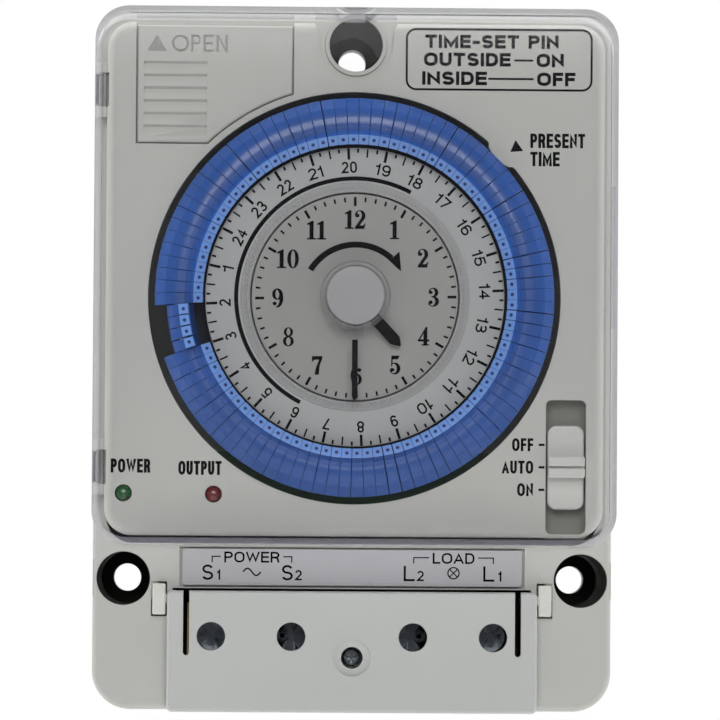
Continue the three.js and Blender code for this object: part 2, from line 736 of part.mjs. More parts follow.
add("clock_face", clockFace(), "dial");
add("setting_knob", settingKnob(), "clear");
add("minute_hand", minuteHand(), "black");
add("minute_arbor", minuteArbor(), "steel");
add("centre_wheel", centreWheel(), "movement");
add("hour_wheel", hourWheel(), "movement");
add("hour_hand", hourHand(), "black");
add("intermediate_wheel", intermediateWheel(), "movement");
add("idler_wheel", idlerWheel(), "movement");
add("motor_pinion", motorPinion(), "brass");
add("movement_plate_rear", movementPlate(REAR_PLATE, 2.3, [[DIAL.x, DIAL.y, 1.3], [motorX, motorY, 1.4]]), "steel");
add(
  "movement_plate_middle",
  movementPlate(MID_PLATE, 1.6, [[DIAL.x, DIAL.y, 1.6], [midX, midY, 1.1], [idlerX, idlerY, 1.1]]),
  "steel",
);
add("movement_bridge", bridgePlate(), "movement");
add("motor", unite(rod(14, motorX, motorY, 3, 10.9, 24), rod(2.4, motorX, motorY, 10, 11.1, 12)), "steel");
add("follower_lever", followerLever(), "movement");
add("microswitch", microswitch(), "black");

add("circuit_board", prism(rectangle(-40.8, -28.8, 30.8, -15, 2, 1), 24.2, 25.8), "board");
add("relay", box(4, -28.5, 8.4, 22, -15.5, 23.9), "relay");
add("capacitor", rod(4.6, -32, -22, 8.4, 23.9, 16), "black");
add("backup_battery", rod(6.4, -30, 50, 25, 33, 20), "steel");
add("led_power", led(LEDS[0]), "green");
add("led_output", led(LEDS[1]), "red");
add("slide_switch_body", slideSwitchBody(), "black");
add("switch_slider", switchSlider(), "clip");
add("battery_door", batteryDoor(), "housing");

add("terminal_block", terminalBlock(), "black");
TERMINAL_X.forEach((x, i) => {
  add(`terminal_plate_${i + 1}`, terminalPlate(x), "brass");
  add(`terminal_screw_${i + 1}`, crossScrew(3, 1.5, x, TERMINAL_Y, 15.2, 24.7, 2.4), "steel");
});
add("terminal_cover", terminalCover(), "housing");
add("terminal_cover_screw", crossScrew(1.5, 0.85, 0, -50, 20, 32.9, 1.5), "steel");
add("terminal_label", box(-28.8, -37.9, BASE.front - 0.5, 28.8, -31.7, BASE.front + 0.6), "grey");
add("cover_clip_left", coverClip(-1), "clip");
add("cover_clip_right", coverClip(1), "clip");

export default part;
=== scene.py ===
"""Looks of the programmable timer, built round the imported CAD.

Shapes are drawn in face space, in millimetres: x right, y up, z out from the wall. FACE_TO_FRAME takes
them to the shared frame in metres, where the front faces -Y and +Z is up.
"""

import math
import random

import bmesh
import bpy
from mathutils import Matrix, Vector


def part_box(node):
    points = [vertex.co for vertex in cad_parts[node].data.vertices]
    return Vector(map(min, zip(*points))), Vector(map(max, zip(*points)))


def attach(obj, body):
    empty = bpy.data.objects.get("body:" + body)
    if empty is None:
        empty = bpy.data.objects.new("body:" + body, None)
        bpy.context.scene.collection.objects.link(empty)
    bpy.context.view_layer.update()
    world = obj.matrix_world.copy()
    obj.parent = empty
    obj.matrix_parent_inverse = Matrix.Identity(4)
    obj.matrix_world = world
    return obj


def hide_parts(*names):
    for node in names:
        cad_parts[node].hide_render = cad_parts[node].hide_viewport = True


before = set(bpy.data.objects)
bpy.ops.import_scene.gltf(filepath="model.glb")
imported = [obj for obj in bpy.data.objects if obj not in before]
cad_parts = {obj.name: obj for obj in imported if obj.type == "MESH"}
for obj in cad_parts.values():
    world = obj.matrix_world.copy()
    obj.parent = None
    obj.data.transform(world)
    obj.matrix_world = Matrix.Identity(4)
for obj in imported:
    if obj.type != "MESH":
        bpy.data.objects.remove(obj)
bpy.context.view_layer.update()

MM = 0.001
FACE_TO_FRAME = Matrix(((MM, 0, 0, 0), (0, 0, -MM, 0), (0, MM, 0, 0), (0, 0, 0, 1)))


# ---------------------------------------------------------------- where things are


class FaceBox:
    """A CAD node's box in face space, in millimetres."""

    def __init__(self, node):
        low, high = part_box(node)
        self.left, self.right = low.x / MM, high.x / MM
        self.bottom, self.top = low.z / MM, high.z / MM
        self.back, self.front = -high.y / MM, -low.y / MM
        self.x = (self.left + self.right) / 2
        self.y = (self.bottom + self.top) / 2
        self.middle = (self.x, self.y)

    def outline(self, radius, steps=10):
        return rounded_box(self.left, self.bottom, self.right, self.top, radius, steps)


BASE = FaceBox("rear_housing")
PANEL = FaceBox("front_panel")
COVER = FaceBox("clear_cover")
DIAL = FaceBox("dial_ring")
CLOCK = FaceBox("clock_face")
KNOB = FaceBox("setting_knob")
DOOR = FaceBox("battery_door")
SLIDER = FaceBox("switch_slider")
LABEL = FaceBox("terminal_label")
LID = FaceBox("terminal_cover")
HINGE_PINS = [FaceBox("cover_hinge_pin_upper"), FaceBox("cover_hinge_pin_lower")]
LAMPS = {"led_power": FaceBox("led_power"), "led_output": FaceBox("led_output")}
TERMINALS = [FaceBox(f"terminal_screw_{i}") for i in range(1, 5)]

CENTRE = DIAL.middle
OPENING = 34.9
PANEL_LEFT = -42.1
PANEL_EDGE = 1.9
BASE_CORNER = 6.5
BASE_WALL = 2.2
# The cover's right wall; only its lip reaches the right side of its box.
COVER_RIGHT = 43.8
COVER_WALL = 1.2
DOOR_ARC = 36.15
WELL_SEAT = 5.0
WELL_RADIUS = 4.55
WELL_HOLE = 2.4
WELLS = [(-38.8, -36.8), (38.8, -36.8), (0.0, 53.8)]
SLOT = (32.5, -28.9, 39.3, -6.2)
HINGE_LUG = 5.2

HOUR_20_ANGLE = 92.9
PINS = 96
PIN_PITCH = 360 / PINS
PIVOT = (30.0, 45.0)
FLIP = 40.0
FREE_PINS = 8
FLIPPED_PINS = 4
FIRST_FREE_ANGLE = HOUR_20_ANGLE + 15 * 6 + PIN_PITCH / 2
POINTER_ANGLE = 44.8


# ---------------------------------------------------------------- outlines


def polar(radius, degrees, centre=(0.0, 0.0)):
    a = math.radians(degrees)
    return (centre[0] + radius * math.cos(a), centre[1] + radius * math.sin(a))


def circle(radius, centre=(0.0, 0.0), sides=96):
    return [polar(radius, 360 * i / sides, centre) for i in range(sides)]


def arc(radius, start, end, centre=(0.0, 0.0), steps=24):
    return [polar(radius, start + (end - start) * i / steps, centre) for i in range(steps + 1)]


def rounded_box(left, bottom, right, top, radius, steps=10):
    points = []
    corners = (
        (right - radius, top - radius, 0),
        (left + radius, top - radius, 90),
        (left + radius, bottom + radius, 180),
        (right - radius, bottom + radius, 270),
    )
    for x, y, start in corners:
        points += arc(radius, start, start + 90, (x, y), steps)
    return points


def fillet(points, radius, steps=4, closed=True):
    """The same outline with each corner rounded, less where its sides are too short."""
    result = []
    count = len(points)
    for i, point in enumerate(points):
        if not closed and i in (0, count - 1):
            result.append(point)
            continue
        here = Vector(point)
        before = Vector(points[i - 1]) - here
        after = Vector(points[(i + 1) % count]) - here
        angle = before.angle(after)
        if angle > math.radians(178):
            result.append(point)
            continue
        reach = min(radius / math.tan(angle / 2), before.length * 0.45, after.length * 0.45)
        first = here + before.normalized() * reach
        last = here + after.normalized() * reach
        for k in range(steps + 1):
            t = k / steps
            blend = first * (1 - t) ** 2 + here * 2 * t * (1 - t) + last * t * t
            result.append((blend.x, blend.y))
    return result


def turn(points, degrees, centre=(0.0, 0.0)):
    c, s = math.cos(math.radians(degrees)), math.sin(math.radians(degrees))
    turned = []
    for x, y in points:
        across, up = x - centre[0], y - centre[1]
        turned.append((centre[0] + across * c - up * s, centre[1] + across * s + up * c))
    return turned


# ---------------------------------------------------------------- meshes in face space


def make_mesh(name, vertices, faces):
    mesh = bpy.data.meshes.new(name)
    mesh.from_pydata([tuple(v) for v in vertices], [], faces)
    mesh.update()
    return mesh


def make_object(name, mesh):
    obj = bpy.data.objects.new(name, mesh)
    bpy.context.scene.collection.objects.link(obj)
    return obj


def baked(obj):
    """The object's mesh with its modifiers applied; the object itself is removed."""
    bpy.context.view_layer.update()
    graph = bpy.context.evaluated_depsgraph_get()
    mesh = bpy.data.meshes.new_from_object(obj.evaluated_get(graph))
    old = obj.data
    bpy.data.objects.remove(obj)
    if isinstance(old, bpy.types.Mesh):
        bpy.data.meshes.remove(old)
    else:
        bpy.data.curves.remove(old)
    return mesh


def weld(mesh, distance=1e-4):
    work = bmesh.new()
    work.from_mesh(mesh)
    bmesh.ops.remove_doubles(work, verts=work.verts, dist=distance)
    bmesh.ops.recalc_face_normals(work, faces=work.faces)
    work.to_mesh(mesh)
    work.free()
    return mesh


def plate(loops, back, front, edge=0.0, steps=3):
    """Outlines, the first outer and the rest holes, pushed out between two depths with rounded edges."""
    curve = bpy.data.curves.new("plate", "CURVE")
    curve.dimensions = "2D"
    curve.fill_mode = "BOTH"
    curve.extrude = (front - back) / 2 - edge
    curve.bevel_depth = edge
    curve.bevel_resolution = steps
    curve.offset = -edge
    for loop in loops:
        spline = curve.splines.new("POLY")
        spline.points.add(len(loop) - 1)
        for point, (x, y) in zip(spline.points, loop):
            point.co = (x, y, 0, 1)
        spline.use_cyclic_u = True
    mesh = baked(make_object("plate", curve))
    mesh.transform(Matrix.Translation((0, 0, (front + back) / 2)))
    return weld(mesh)


def prism(outline, back, front):
    """One outline pushed out, as a plain closed solid."""
    n = len(outline)
    vertices = [(x, y, back) for x, y in outline] + [(x, y, front) for x, y in outline]
    faces = [list(range(n))[::-1], list(range(n, 2 * n))]
    faces += [[i, (i + 1) % n, n + (i + 1) % n, n + i] for i in range(n)]
    return weld(make_mesh("prism", vertices, faces))


def lathe(profile, centre=CENTRE, sides=128):
    """A closed (radius, depth) outline turned about the depth axis. Points at radius 0 lie on the axis."""
    vertices, rings = [], []
    for radius, depth in profile:
        if radius < 1e-6:
            rings.append([len(vertices)] * sides)
            vertices.append((centre[0], centre[1], depth))
        else:
            rings.append(list(range(len(vertices), len(vertices) + sides)))
            vertices += [(*polar(radius, 360 * i / sides, centre), depth) for i in range(sides)]
    faces = []
    for a, b in zip(rings, rings[1:] + rings[:1]):
        for i in range(sides):
            j = (i + 1) % sides
            corners = list(dict.fromkeys((a[i], a[j], b[j], b[i])))
            if len(corners) > 2:
                faces.append(corners)
    return weld(make_mesh("lathe", vertices, faces))


def join(meshes):
    work = bmesh.new()
    for mesh in meshes:
        work.from_mesh(mesh)
        bpy.data.meshes.remove(mesh)
    mesh = bpy.data.meshes.new("joined")
    work.to_mesh(mesh)
    work.free()
    return mesh


def combine(mesh, tools, operation="DIFFERENCE"):
    """The tools taken from the mesh, added to it or kept in common."""
    obj = make_object("body", mesh)
    helpers = []
    for tool in tools:
        helper = make_object("tool", tool)
        modifier = obj.modifiers.new("boolean", "BOOLEAN")
        modifier.operation = operation
        modifier.solver = "EXACT"
        modifier.object = helper
        helpers.append(helper)
    result = baked(obj)
    for helper in helpers:
        data = helper.data
        bpy.data.objects.remove(helper)
        bpy.data.meshes.remove(data)
    return result


def soften(mesh, width, steps=2, angle=40):
    """Rounds every edge sharper than the angle."""
    obj = make_object("soft", mesh)
    modifier = obj.modifiers.new("bevel", "BEVEL")
    modifier.width = width
    modifier.segments = steps
    modifier.limit_method = "ANGLE"
    modifier.angle_limit = math.radians(angle)
    modifier.use_clamp_overlap = True
    return baked(obj)


def box(left, bottom, back, right, top, front, edge=0.0, steps=2):
    mesh = prism([(left, bottom), (right, bottom), (right, top), (left, top)], back, front)
    return soften(mesh, edge, steps) if edge else mesh


def rod(radius, centre, back, front, sides=48):
    return prism(circle(radius, centre, sides), back, front)


def upright_rod(radius, x, depth, bottom, top, sides=40, edge=0.12):
    mesh = lathe([(0, bottom), (radius - edge, bottom), (radius, bottom + edge), (radius, top - edge),
                  (radius - edge, top), (0, top)], (0, 0), sides)
    mesh.transform(Matrix.Rotation(math.radians(-90), 4, "X"))
    mesh.transform(Matrix.Translation((x, 0, depth)))
    return mesh


def place(name, mesh, material, body, stands_for=(), sharp=32):
    """Turns a face-space mesh into a finished piece that rides a CAD body."""
    mesh.transform(FACE_TO_FRAME)
    work = bmesh.new()
    work.from_mesh(mesh)
    limit = math.radians(sharp)
    for face in work.faces:
        face.smooth = True
    for edge in work.edges:
        edge.smooth = len(edge.link_faces) == 2 and edge.calc_face_angle(0) < limit
    work.to_mesh(mesh)
    work.free()
    mesh.name = name
    obj = make_object(name, mesh)
    materials = material if isinstance(material, (list, tuple)) else [material]
    for item in materials:
        mesh.materials.append(item)
    normals = obj.modifiers.new("normals", "WEIGHTED_NORMAL")
    normals.keep_sharp = True
    normals.weight = 80
    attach(obj, body)
    if stands_for:
        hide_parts(*stands_for)
    return obj


# ---------------------------------------------------------------- materials


class Nodes:
    """A small helper to write the node tree of a material or a world briefly."""

    def __init__(self, owner, output="ShaderNodeOutputMaterial"):
        owner.use_nodes = True
        self.owner = owner
        self.tree = owner.node_tree
        self.tree.nodes.clear()
        self.surface = self.add(output).inputs["Surface"]

    def add(self, kind):
        return self.tree.nodes.new(kind)

    def link(self, source, target):
        self.tree.links.new(source, target)

    def noise(self, scale, detail=3.0, roughness=0.5, stretch=None):
        texture = self.add("ShaderNodeTexNoise")
        texture.inputs["Scale"].default_value = scale
        texture.inputs["Detail"].default_value = detail
        texture.inputs["Roughness"].default_value = roughness
        source = self.add("ShaderNodeTexCoord").outputs["Object"]
        if stretch:
            mapping = self.add("ShaderNodeMapping")
            mapping.inputs["Scale"].default_value = stretch
            self.link(source, mapping.inputs["Vector"])
            source = mapping.outputs["Vector"]
        self.link(source, texture.inputs["Vector"])
        return texture.outputs["Fac"]

    def ramp(self, factor, stops):
        node = self.add("ShaderNodeValToRGB")
        elements = node.color_ramp.elements
        while len(elements) < len(stops):
            elements.new(0.5)
        for element, (position, colour) in zip(elements, stops):
            element.position = position
            element.color = (*colour, 1.0)
        self.link(factor, node.inputs["Fac"])
        return node.outputs["Color"]

    def span(self, factor, low, high):
        node = self.add("ShaderNodeMapRange")
        node.inputs["To Min"].default_value = low
        node.inputs["To Max"].default_value = high
        self.link(factor, node.inputs["Value"])
        return node.outputs["Result"]

    def bump(self, height, strength, distance):
        node = self.add("ShaderNodeBump")
        node.inputs["Strength"].default_value = strength
        node.inputs["Distance"].default_value = distance
        self.link(height, node.inputs["Height"])
        return node.outputs["Normal"]

    def mix(self, factor, first, second):
        """Two shaders in a share that is a number or the output of another node."""
        node = self.add("ShaderNodeMixShader")
        if isinstance(factor, float):
            node.inputs["Fac"].default_value = factor
        else:
            self.link(factor, node.inputs["Fac"])
        self.link(first, node.inputs[1])
        self.link(second, node.inputs[2])
        return node.outputs["Shader"]


def material_nodes(name):
    return Nodes(bpy.data.materials.new(name))


def shade(colour, factor):
    return tuple(min(1.0, c * factor) for c in colour)


def srgb(red, green, blue):
    def linear(value):
        value /= 255
        return value / 12.92 if value <= 0.04045 else ((value + 0.055) / 1.055) ** 2.4

    return (linear(red), linear(green), linear(blue))


def plastic(name, colour, roughness=0.45, spread=0.04, grain=2600, grain_strength=0.12, cloud=40,
            **sockets):
    """Moulded plastic: a slow drift of shade, uneven gloss and a fine surface grain."""
    nodes = material_nodes(name)
    shader = nodes.add("ShaderNodeBsdfPrincipled")
    drift = nodes.noise(cloud, 4.0)
    tint = nodes.ramp(drift, [(0.3, shade(colour, 1 - spread)), (0.7, shade(colour, 1 + spread))])
    nodes.link(tint, shader.inputs["Base Color"])
    gloss = nodes.noise(cloud * 9, 5.0, 0.6)
    nodes.link(nodes.span(gloss, roughness - 0.06, roughness + 0.07), shader.inputs["Roughness"])
    texture = nodes.noise(grain, 2.0, 0.6)
    nodes.link(nodes.bump(texture, grain_strength, 0.00006), shader.inputs["Normal"])
    for socket, value in sockets.items():
        shader.inputs[socket.replace("_", " ")].default_value = value
    nodes.link(shader.outputs["BSDF"], nodes.surface)
    return nodes.owner


def metal(name, colour, roughness=0.3, stretch=(1, 1, 18)):
    """Metal with fine drawn lines and tarnish."""
    nodes = material_nodes(name)
    shader = nodes.add("ShaderNodeBsdfPrincipled")
    shader.inputs["Metallic"].default_value = 1.0
    tarnish = nodes.noise(260, 6.0, 0.6)
    tint = nodes.ramp(tarnish, [(0.35, shade(colour, 0.72)), (0.62, colour)])
    nodes.link(tint, shader.inputs["Base Color"])
    lines = nodes.noise(900, 4.0, 0.6, stretch)
    nodes.link(nodes.span(lines, roughness - 0.1, roughness + 0.14), shader.inputs["Roughness"])
    nodes.link(nodes.bump(lines, 0.18, 0.00004), shader.inputs["Normal"])
    nodes.link(shader.outputs["BSDF"], nodes.surface)
    return nodes.owner


def clear_plastic(name, tint, edge_tint_and_shade, haze_colour, haze, roughness=0.04, ior=1.3):
    """Clear moulded plastic: a little hazy, shiny, and deeper in tint where seen along its surface; a dark edge
    tint is painted shade for dark surroundings seen through the edge.
    """
    nodes = material_nodes(name)
    through = nodes.add("ShaderNodeBsdfTransparent")
    facing = nodes.add("ShaderNodeLayerWeight")
    facing.inputs["Blend"].default_value = 0.35
    colour = nodes.ramp(facing.outputs["Facing"], [(0.25, tint), (0.95, edge_tint_and_shade)])
    nodes.link(colour, through.inputs["Color"])
    body = nodes.add("ShaderNodeBsdfDiffuse")
    smoke = nodes.noise(60, 3.0)
    cloud = nodes.ramp(smoke, [(0.3, shade(haze_colour, 0.94)), (0.7, haze_colour)])
    nodes.link(cloud, body.inputs["Color"])
    inner = nodes.mix(float(haze), through.outputs["BSDF"], body.outputs["BSDF"])
    gloss = nodes.add("ShaderNodeBsdfGlossy")
    gloss.inputs["Color"].default_value = (1, 1, 1, 1)
    wear = nodes.noise(700, 5.0, 0.65)
    nodes.link(nodes.span(wear, roughness, roughness + 0.05), gloss.inputs["Roughness"])
    ripple = nodes.noise(55, 2.0)
    nodes.link(nodes.bump(ripple, 0.04, 0.0004), gloss.inputs["Normal"])
    fresnel = nodes.add("ShaderNodeFresnel")
    fresnel.inputs["IOR"].default_value = ior
    outer = nodes.mix(fresnel.outputs["Fac"], inner, gloss.outputs["BSDF"])
    # Lamp light reaches what lies behind the plastic as if it were not there.
    open_way = nodes.add("ShaderNodeBsdfTransparent").outputs["BSDF"]
    shadow = nodes.add("ShaderNodeLightPath").outputs["Is Shadow Ray"]
    nodes.link(nodes.mix(shadow, outer, open_way), nodes.surface)
    return nodes.owner


HOUSING = plastic("housing_plastic", srgb(198, 199, 193), 0.42, 0.02)
PANEL_PLASTIC = plastic("panel_plastic", srgb(203, 203, 196), 0.38, 0.02)
LID_PLASTIC = plastic("lid_plastic", srgb(201, 203, 200), 0.42, 0.02)
WHITE = plastic("white_nylon", srgb(226, 226, 219), 0.36, 0.02)
SLIDER_PLASTIC = plastic("slider_plastic", srgb(216, 216, 210), 0.32, 0.02)
LABEL_PLASTIC = plastic("label_grey", srgb(184, 183, 187), 0.5, 0.02, 3800, 0.06)
# Painted shade: the near-black brown of the sheets in the screw wells.
WELL_PAINTED_SHADE = plastic("well_shadow", srgb(52, 47, 38), 0.6, 0.2)
# Painted shade: the slot floor is greyer than the housing for the shade in the slot.
SLOT_FLOOR_SHADE = plastic("slot_floor", srgb(150, 150, 141), 0.6, 0.05)
# Painted shade: a dark navy for the shade under and between the pins.
PIN_SEAT_SHADE = plastic("pin_seat_painted_shade", srgb(12, 12, 34), 0.6, 0.15, Specular_IOR_Level=0.2)
BLACK = plastic("black_plastic", srgb(16, 16, 18), 0.7, 0.15, Specular_IOR_Level=0.08)
INK = plastic("print_ink", srgb(12, 12, 14), 0.85, 0.2, 5000, 0.05, Specular_IOR_Level=0.04)
DIAL_PLASTIC = plastic("dial_plastic", srgb(182, 183, 183), 0.4, 0.02)
FACE_PLASTIC = plastic("clock_face_plastic", srgb(164, 163, 160), 0.45, 0.015)
BLUE = plastic("pin_blue", srgb(30, 82, 162), 0.45, 0.07, 1500, 0.05, 120, Specular_IOR_Level=0.2,
               Coat_Weight=0.9, Coat_Roughness=0.2)
# Painted light: the tip face that looks at the front lamp gets a paler copy of the pin blue.
PIN_TIP_LIT_BLUE = plastic("pin_tip_painted_light", srgb(120, 165, 240), 0.25, 0.04, 1500, 0.05, 120)
DOT_BLUE = plastic("pin_dot", srgb(20, 44, 120), 0.5, 0.1)
ACETAL = plastic("natural_acetal", srgb(226, 221, 205), 0.4, 0.03)
BOARD = plastic("circuit_board", srgb(30, 92, 46), 0.35, 0.12, 900, 0.1)
RELAY_BLUE = plastic("relay_case", srgb(40, 80, 150), 0.4, 0.05)
STEEL = metal("zinc_steel", (0.62, 0.63, 0.65), 0.32)
DARK_STEEL = metal("dark_screw_steel", (0.16, 0.18, 0.20), 0.3)
BRASS = metal("brass", (0.75, 0.58, 0.28), 0.3)
# Painted shade: a slightly darker grey for the floors of letters sunk into the door.
LETTER_RECESS_SHADE = plastic("letter_recess_painted_shade", srgb(172, 173, 167), 0.6, 0.02)
CLEAR = clear_plastic("clear_window", (0.995, 0.995, 0.995), (0.93, 0.93, 0.95), (0.8, 0.8, 0.86), 0.004,
                      0.03, 1.18)
CLEAR_EDGE = clear_plastic("clear_edge", (0.98, 0.98, 0.99), (0.8, 0.8, 0.86), srgb(214, 214, 226), 0.14,
                           0.05, 1.3)
# Painted shade: the rim and the knob turn dark where seen along their surface, for the dark surroundings seen
# through their edges.
CLEAR_RIM = clear_plastic("clear_dial_rim", (0.96, 0.96, 0.96), (0.4, 0.4, 0.42), srgb(200, 201, 203), 0.12,
                          0.1, 1.45)
CLEAR_KNOB = clear_plastic("clear_knob", (0.97, 0.97, 0.975), (0.3, 0.29, 0.31), srgb(190, 189, 194), 0.05,
                           0.06, 1.45)
KNOB_CAP = plastic("knob_cap", srgb(170, 168, 171), 0.4, 0.02)
GREEN_LENS = plastic("green_lens", srgb(18, 84, 30), 0.2, 0.15, 1200, 0.04, 300, Coat_Weight=0.5)
RED_LENS = plastic("red_lens", srgb(110, 14, 16), 0.2, 0.15, 1200, 0.04, 300, Coat_Weight=0.5)


# ---------------------------------------------------------------- print


def stroke(path, width, closed=False, cap=0.0):
    """The two edges of a line of the given width along a path, with mitred corners.

    Straight ends run on by the cap; curved ends, made of short steps, do not.
    """
    points = [Vector(point) for point in path]
    if cap:
        for end, inner in ((0, 1), (-1, -2)):
            reach = points[end] - points[inner]
            if reach.length > cap:
                points[end] = points[end] + reach.normalized() * cap
    left, right = [], []
    last = len(points) - 1
    for i, here in enumerate(points):
        ahead = points[(i + 1) % len(points)] - here if closed or i < last else None
        behind = here - points[i - 1] if closed or i > 0 else ahead
        ahead = (ahead if ahead is not None else behind).normalized()
        behind = behind.normalized()
        normal = Vector((-ahead.y - behind.y, ahead.x + behind.x)).normalized()
        reach = width / 2 / max(0.3, normal.dot(Vector((-ahead.y, ahead.x))))
        left.append(tuple(here + normal * reach))
        right.append(tuple(here - normal * reach))
    return left, right


def bow(x, y, rx, ry, start, end, steps=14):
    """Part of an ellipse, for the curved strokes of letters."""
    points = []
    for i in range(steps + 1):
        angle = math.radians(start + (end - start) * i / steps)
        points.append((x + rx * math.cos(angle), y + ry * math.sin(angle)))
    return points


LOOP = bow(0.5, 0.66, 0.5, 0.34, 0, 180) + bow(0.5, 0.34, 0.5, 0.34, 180, 360)

# Middle lines of the letters and figures in a box one unit wide and tall, after the width of each
# relative to its height. A path that starts with True is closed.
LETTERS = {
    "A": (0.86, [[(0, 0), (0.5, 1), (1, 0)], [(0.2, 0.28), (0.8, 0.28)]]),
    "D": (0.8, [[True, (0, 0), (0, 1), *bow(0.45, 0.6, 0.55, 0.4, 90, 0, 6),
                 *bow(0.45, 0.4, 0.55, 0.4, 0, -90, 6)]]),
    "E": (0.72, [[(1, 1), (0, 1), (0, 0), (1, 0)], [(0, 0.52), (0.93, 0.52)]]),
    "F": (0.68, [[(1, 1), (0, 1), (0, 0)], [(0, 0.5), (0.9, 0.5)]]),
    "I": (0.0, [[(0, 0), (0, 1)]]),
    "L": (0.66, [[(0, 1), (0, 0), (1, 0)]]),
    "M": (0.98, [[(0, 0), (0, 1), (0.5, 0.05), (1, 1), (1, 0)]]),
    "N": (0.8, [[(0, 0), (0, 1), (1, 0), (1, 1)]]),
    "O": (0.9, [[True, *LOOP]]),
    "P": (0.76, [[(0, 0), (0, 1), *bow(0.55, 0.735, 0.45, 0.265, 90, -90, 10), (0, 0.47)]]),
    "R": (0.8, [[(0, 0), (0, 1), *bow(0.52, 0.735, 0.45, 0.265, 90, -90, 10), (0, 0.47)],
                [(0.5, 0.47), (0.78, 0.4), (0.88, 0.26), (0.94, 0)]]),
    "S": (0.78, [bow(0.5, 0.75, 0.47, 0.25, 18, 270, 18) + bow(0.5, 0.25, 0.5, 0.25, 90, -162, 18)[1:]]),
    "T": (0.78, [[(0, 1), (1, 1)], [(0.5, 0), (0.5, 1)]]),
    "U": (0.8, [[(0, 1), *bow(0.5, 0.32, 0.5, 0.32, 180, 360), (1, 1)]]),
    "W": (1.2, [[(0, 1), (0.25, 0), (0.5, 1), (0.75, 0), (1, 1)]]),
    "-": (0.5, [[(0, 0.42), (1, 0.42)]]),
    "0": (0.62, [[True, *LOOP]]),
    "1": (0.36, [[(0.8, 0), (0.8, 1)], [(0.0, 0.78), (0.8, 0.84)]]),
    "2": (0.62, [bow(0.5, 0.72, 0.48, 0.28, 168, -32, 14) + [(0, 0), (1, 0)]]),
    "3": (0.62, [bow(0.47, 0.755, 0.44, 0.245, 160, -90, 14) + [(0.3, 0.51)],
                 [(0.3, 0.51)] + bow(0.47, 0.255, 0.53, 0.255, 90, -160, 14)]),
    "4": (0.66, [[(0.72, 0), (0.72, 1), (0, 0.26), (1, 0.26)]]),
    "5": (0.62, [[(0.94, 1), (0.16, 1), (0.07, 0.5)] + bow(0.47, 0.32, 0.53, 0.32, 140, -160, 16)]),
    "6": (0.62, [bow(0.5, 0.7, 0.48, 0.3, 20, 180, 10) + [(0.01, 0.32)],
                 [True, *bow(0.5, 0.3, 0.5, 0.3, 0, 345, 20)]]),
    "7": (0.6, [[(0, 1), (1, 1), (0.36, 0)]]),
    "8": (0.62, [[True, *bow(0.5, 0.755, 0.43, 0.245, 0, 345, 18)],
                 [True, *bow(0.5, 0.265, 0.5, 0.265, 0, 345, 18)]]),
    "9": (0.62, [bow(0.5, 0.3, 0.48, 0.3, 200, 360, 10) + [(0.99, 0.68)],
                 [True, *bow(0.5, 0.7, 0.5, 0.3, 0, 345, 20)]]),
}


def letter_strokes(words, height, width, weight, gap=0.16):
    """Edges of every stroke of the words, set from x = 0, with y = 0 at half their height."""
    thick = weight * height
    space = gap * height
    sizes = [0.4 if c == " " else LETTERS[c][0] for c in words]
    fixed = space * (len(words) - 1) + sum(thick for size in sizes if size == 0)
    share = (width - fixed) / sum(sizes) if sum(sizes) else 0
    x = 0.0
    strokes = []
    for character, size in zip(words, sizes):
        across = max(size * share - thick, 0)
        for path in LETTERS[character][1] if character != " " else ():
            closed = path[0] is True
            points = []
            for px, py in path[1 if closed else 0:]:
                points.append((x + thick / 2 + px * across, (py - 0.5) * (height - thick)))
            edges = stroke(points, thick, closed, 0 if closed else thick / 2)
            limit = height / 2
            kept = [[(ex, max(-limit, min(limit, ey))) for ex, ey in edge] for edge in edges]
            strokes.append(kept + [closed])
        x += (size * share if size else thick) + space
    return strokes


class Print:
    """Flat printed shapes on one surface, gathered into a single thin sheet."""

    def __init__(self, depth, lift=0.02):
        self.depth = depth + lift
        self.vertices = []
        self.faces = []

    def polygon(self, points):
        start = len(self.vertices)
        self.vertices += [(x, y, self.depth) for x, y in points]
        self.faces.append(list(range(start, len(self.vertices))))

    def band(self, left, right, closed=False):
        start = len(self.vertices)
        count = len(left)
        self.vertices += [(x, y, self.depth) for x, y in list(left) + list(right)]
        for i in range(count if closed else count - 1):
            j = (i + 1) % count
            self.faces.append([start + i, start + count + i, start + count + j, start + j])

    def line(self, start, end, width):
        self.band(*stroke([start, end], width))

    def text(self, words, x, y, height, width, weight=0.2, align=0.0, angle=0.0, gap=0.13):
        """Words in capitals; align 0 sets them from x to the right, 0.5 about x and 1 to the left."""
        for left, right, closed in letter_strokes(words, height, width, weight, gap):
            edges = [turn([(px - width * align, py) for px, py in edge], angle) for edge in (left, right)]
            self.band(*[[(x + px, y + py) for px, py in edge] for edge in edges], closed)

    def finish(self, name, body, material):
        mesh = make_mesh(name, self.vertices, self.faces)
        work = bmesh.new()
        work.from_mesh(mesh)
        for face in work.faces:
            if face.normal.z < 0:
                face.normal_flip()
        bmesh.ops.triangulate(work, faces=[face for face in work.faces if len(face.verts) > 4])
        work.to_mesh(mesh)
        work.free()
        return place(name, mesh, material, body)


# Bold serif figures for the clock face, in a box one unit tall. A list is an outline; a pair is the
# outer and inner edge of a curved stroke.


def swell(outer, inner, start, end, steps=24):
    """A curved stroke between two ellipses (centre x, y, radius x, y), thick and thin by turns."""
    return (bow(*outer, start, end, steps), bow(*inner, start, end, steps))


def spot(x, y, rx, ry):
    return bow(x, y, rx, ry, 0, 345, 22)


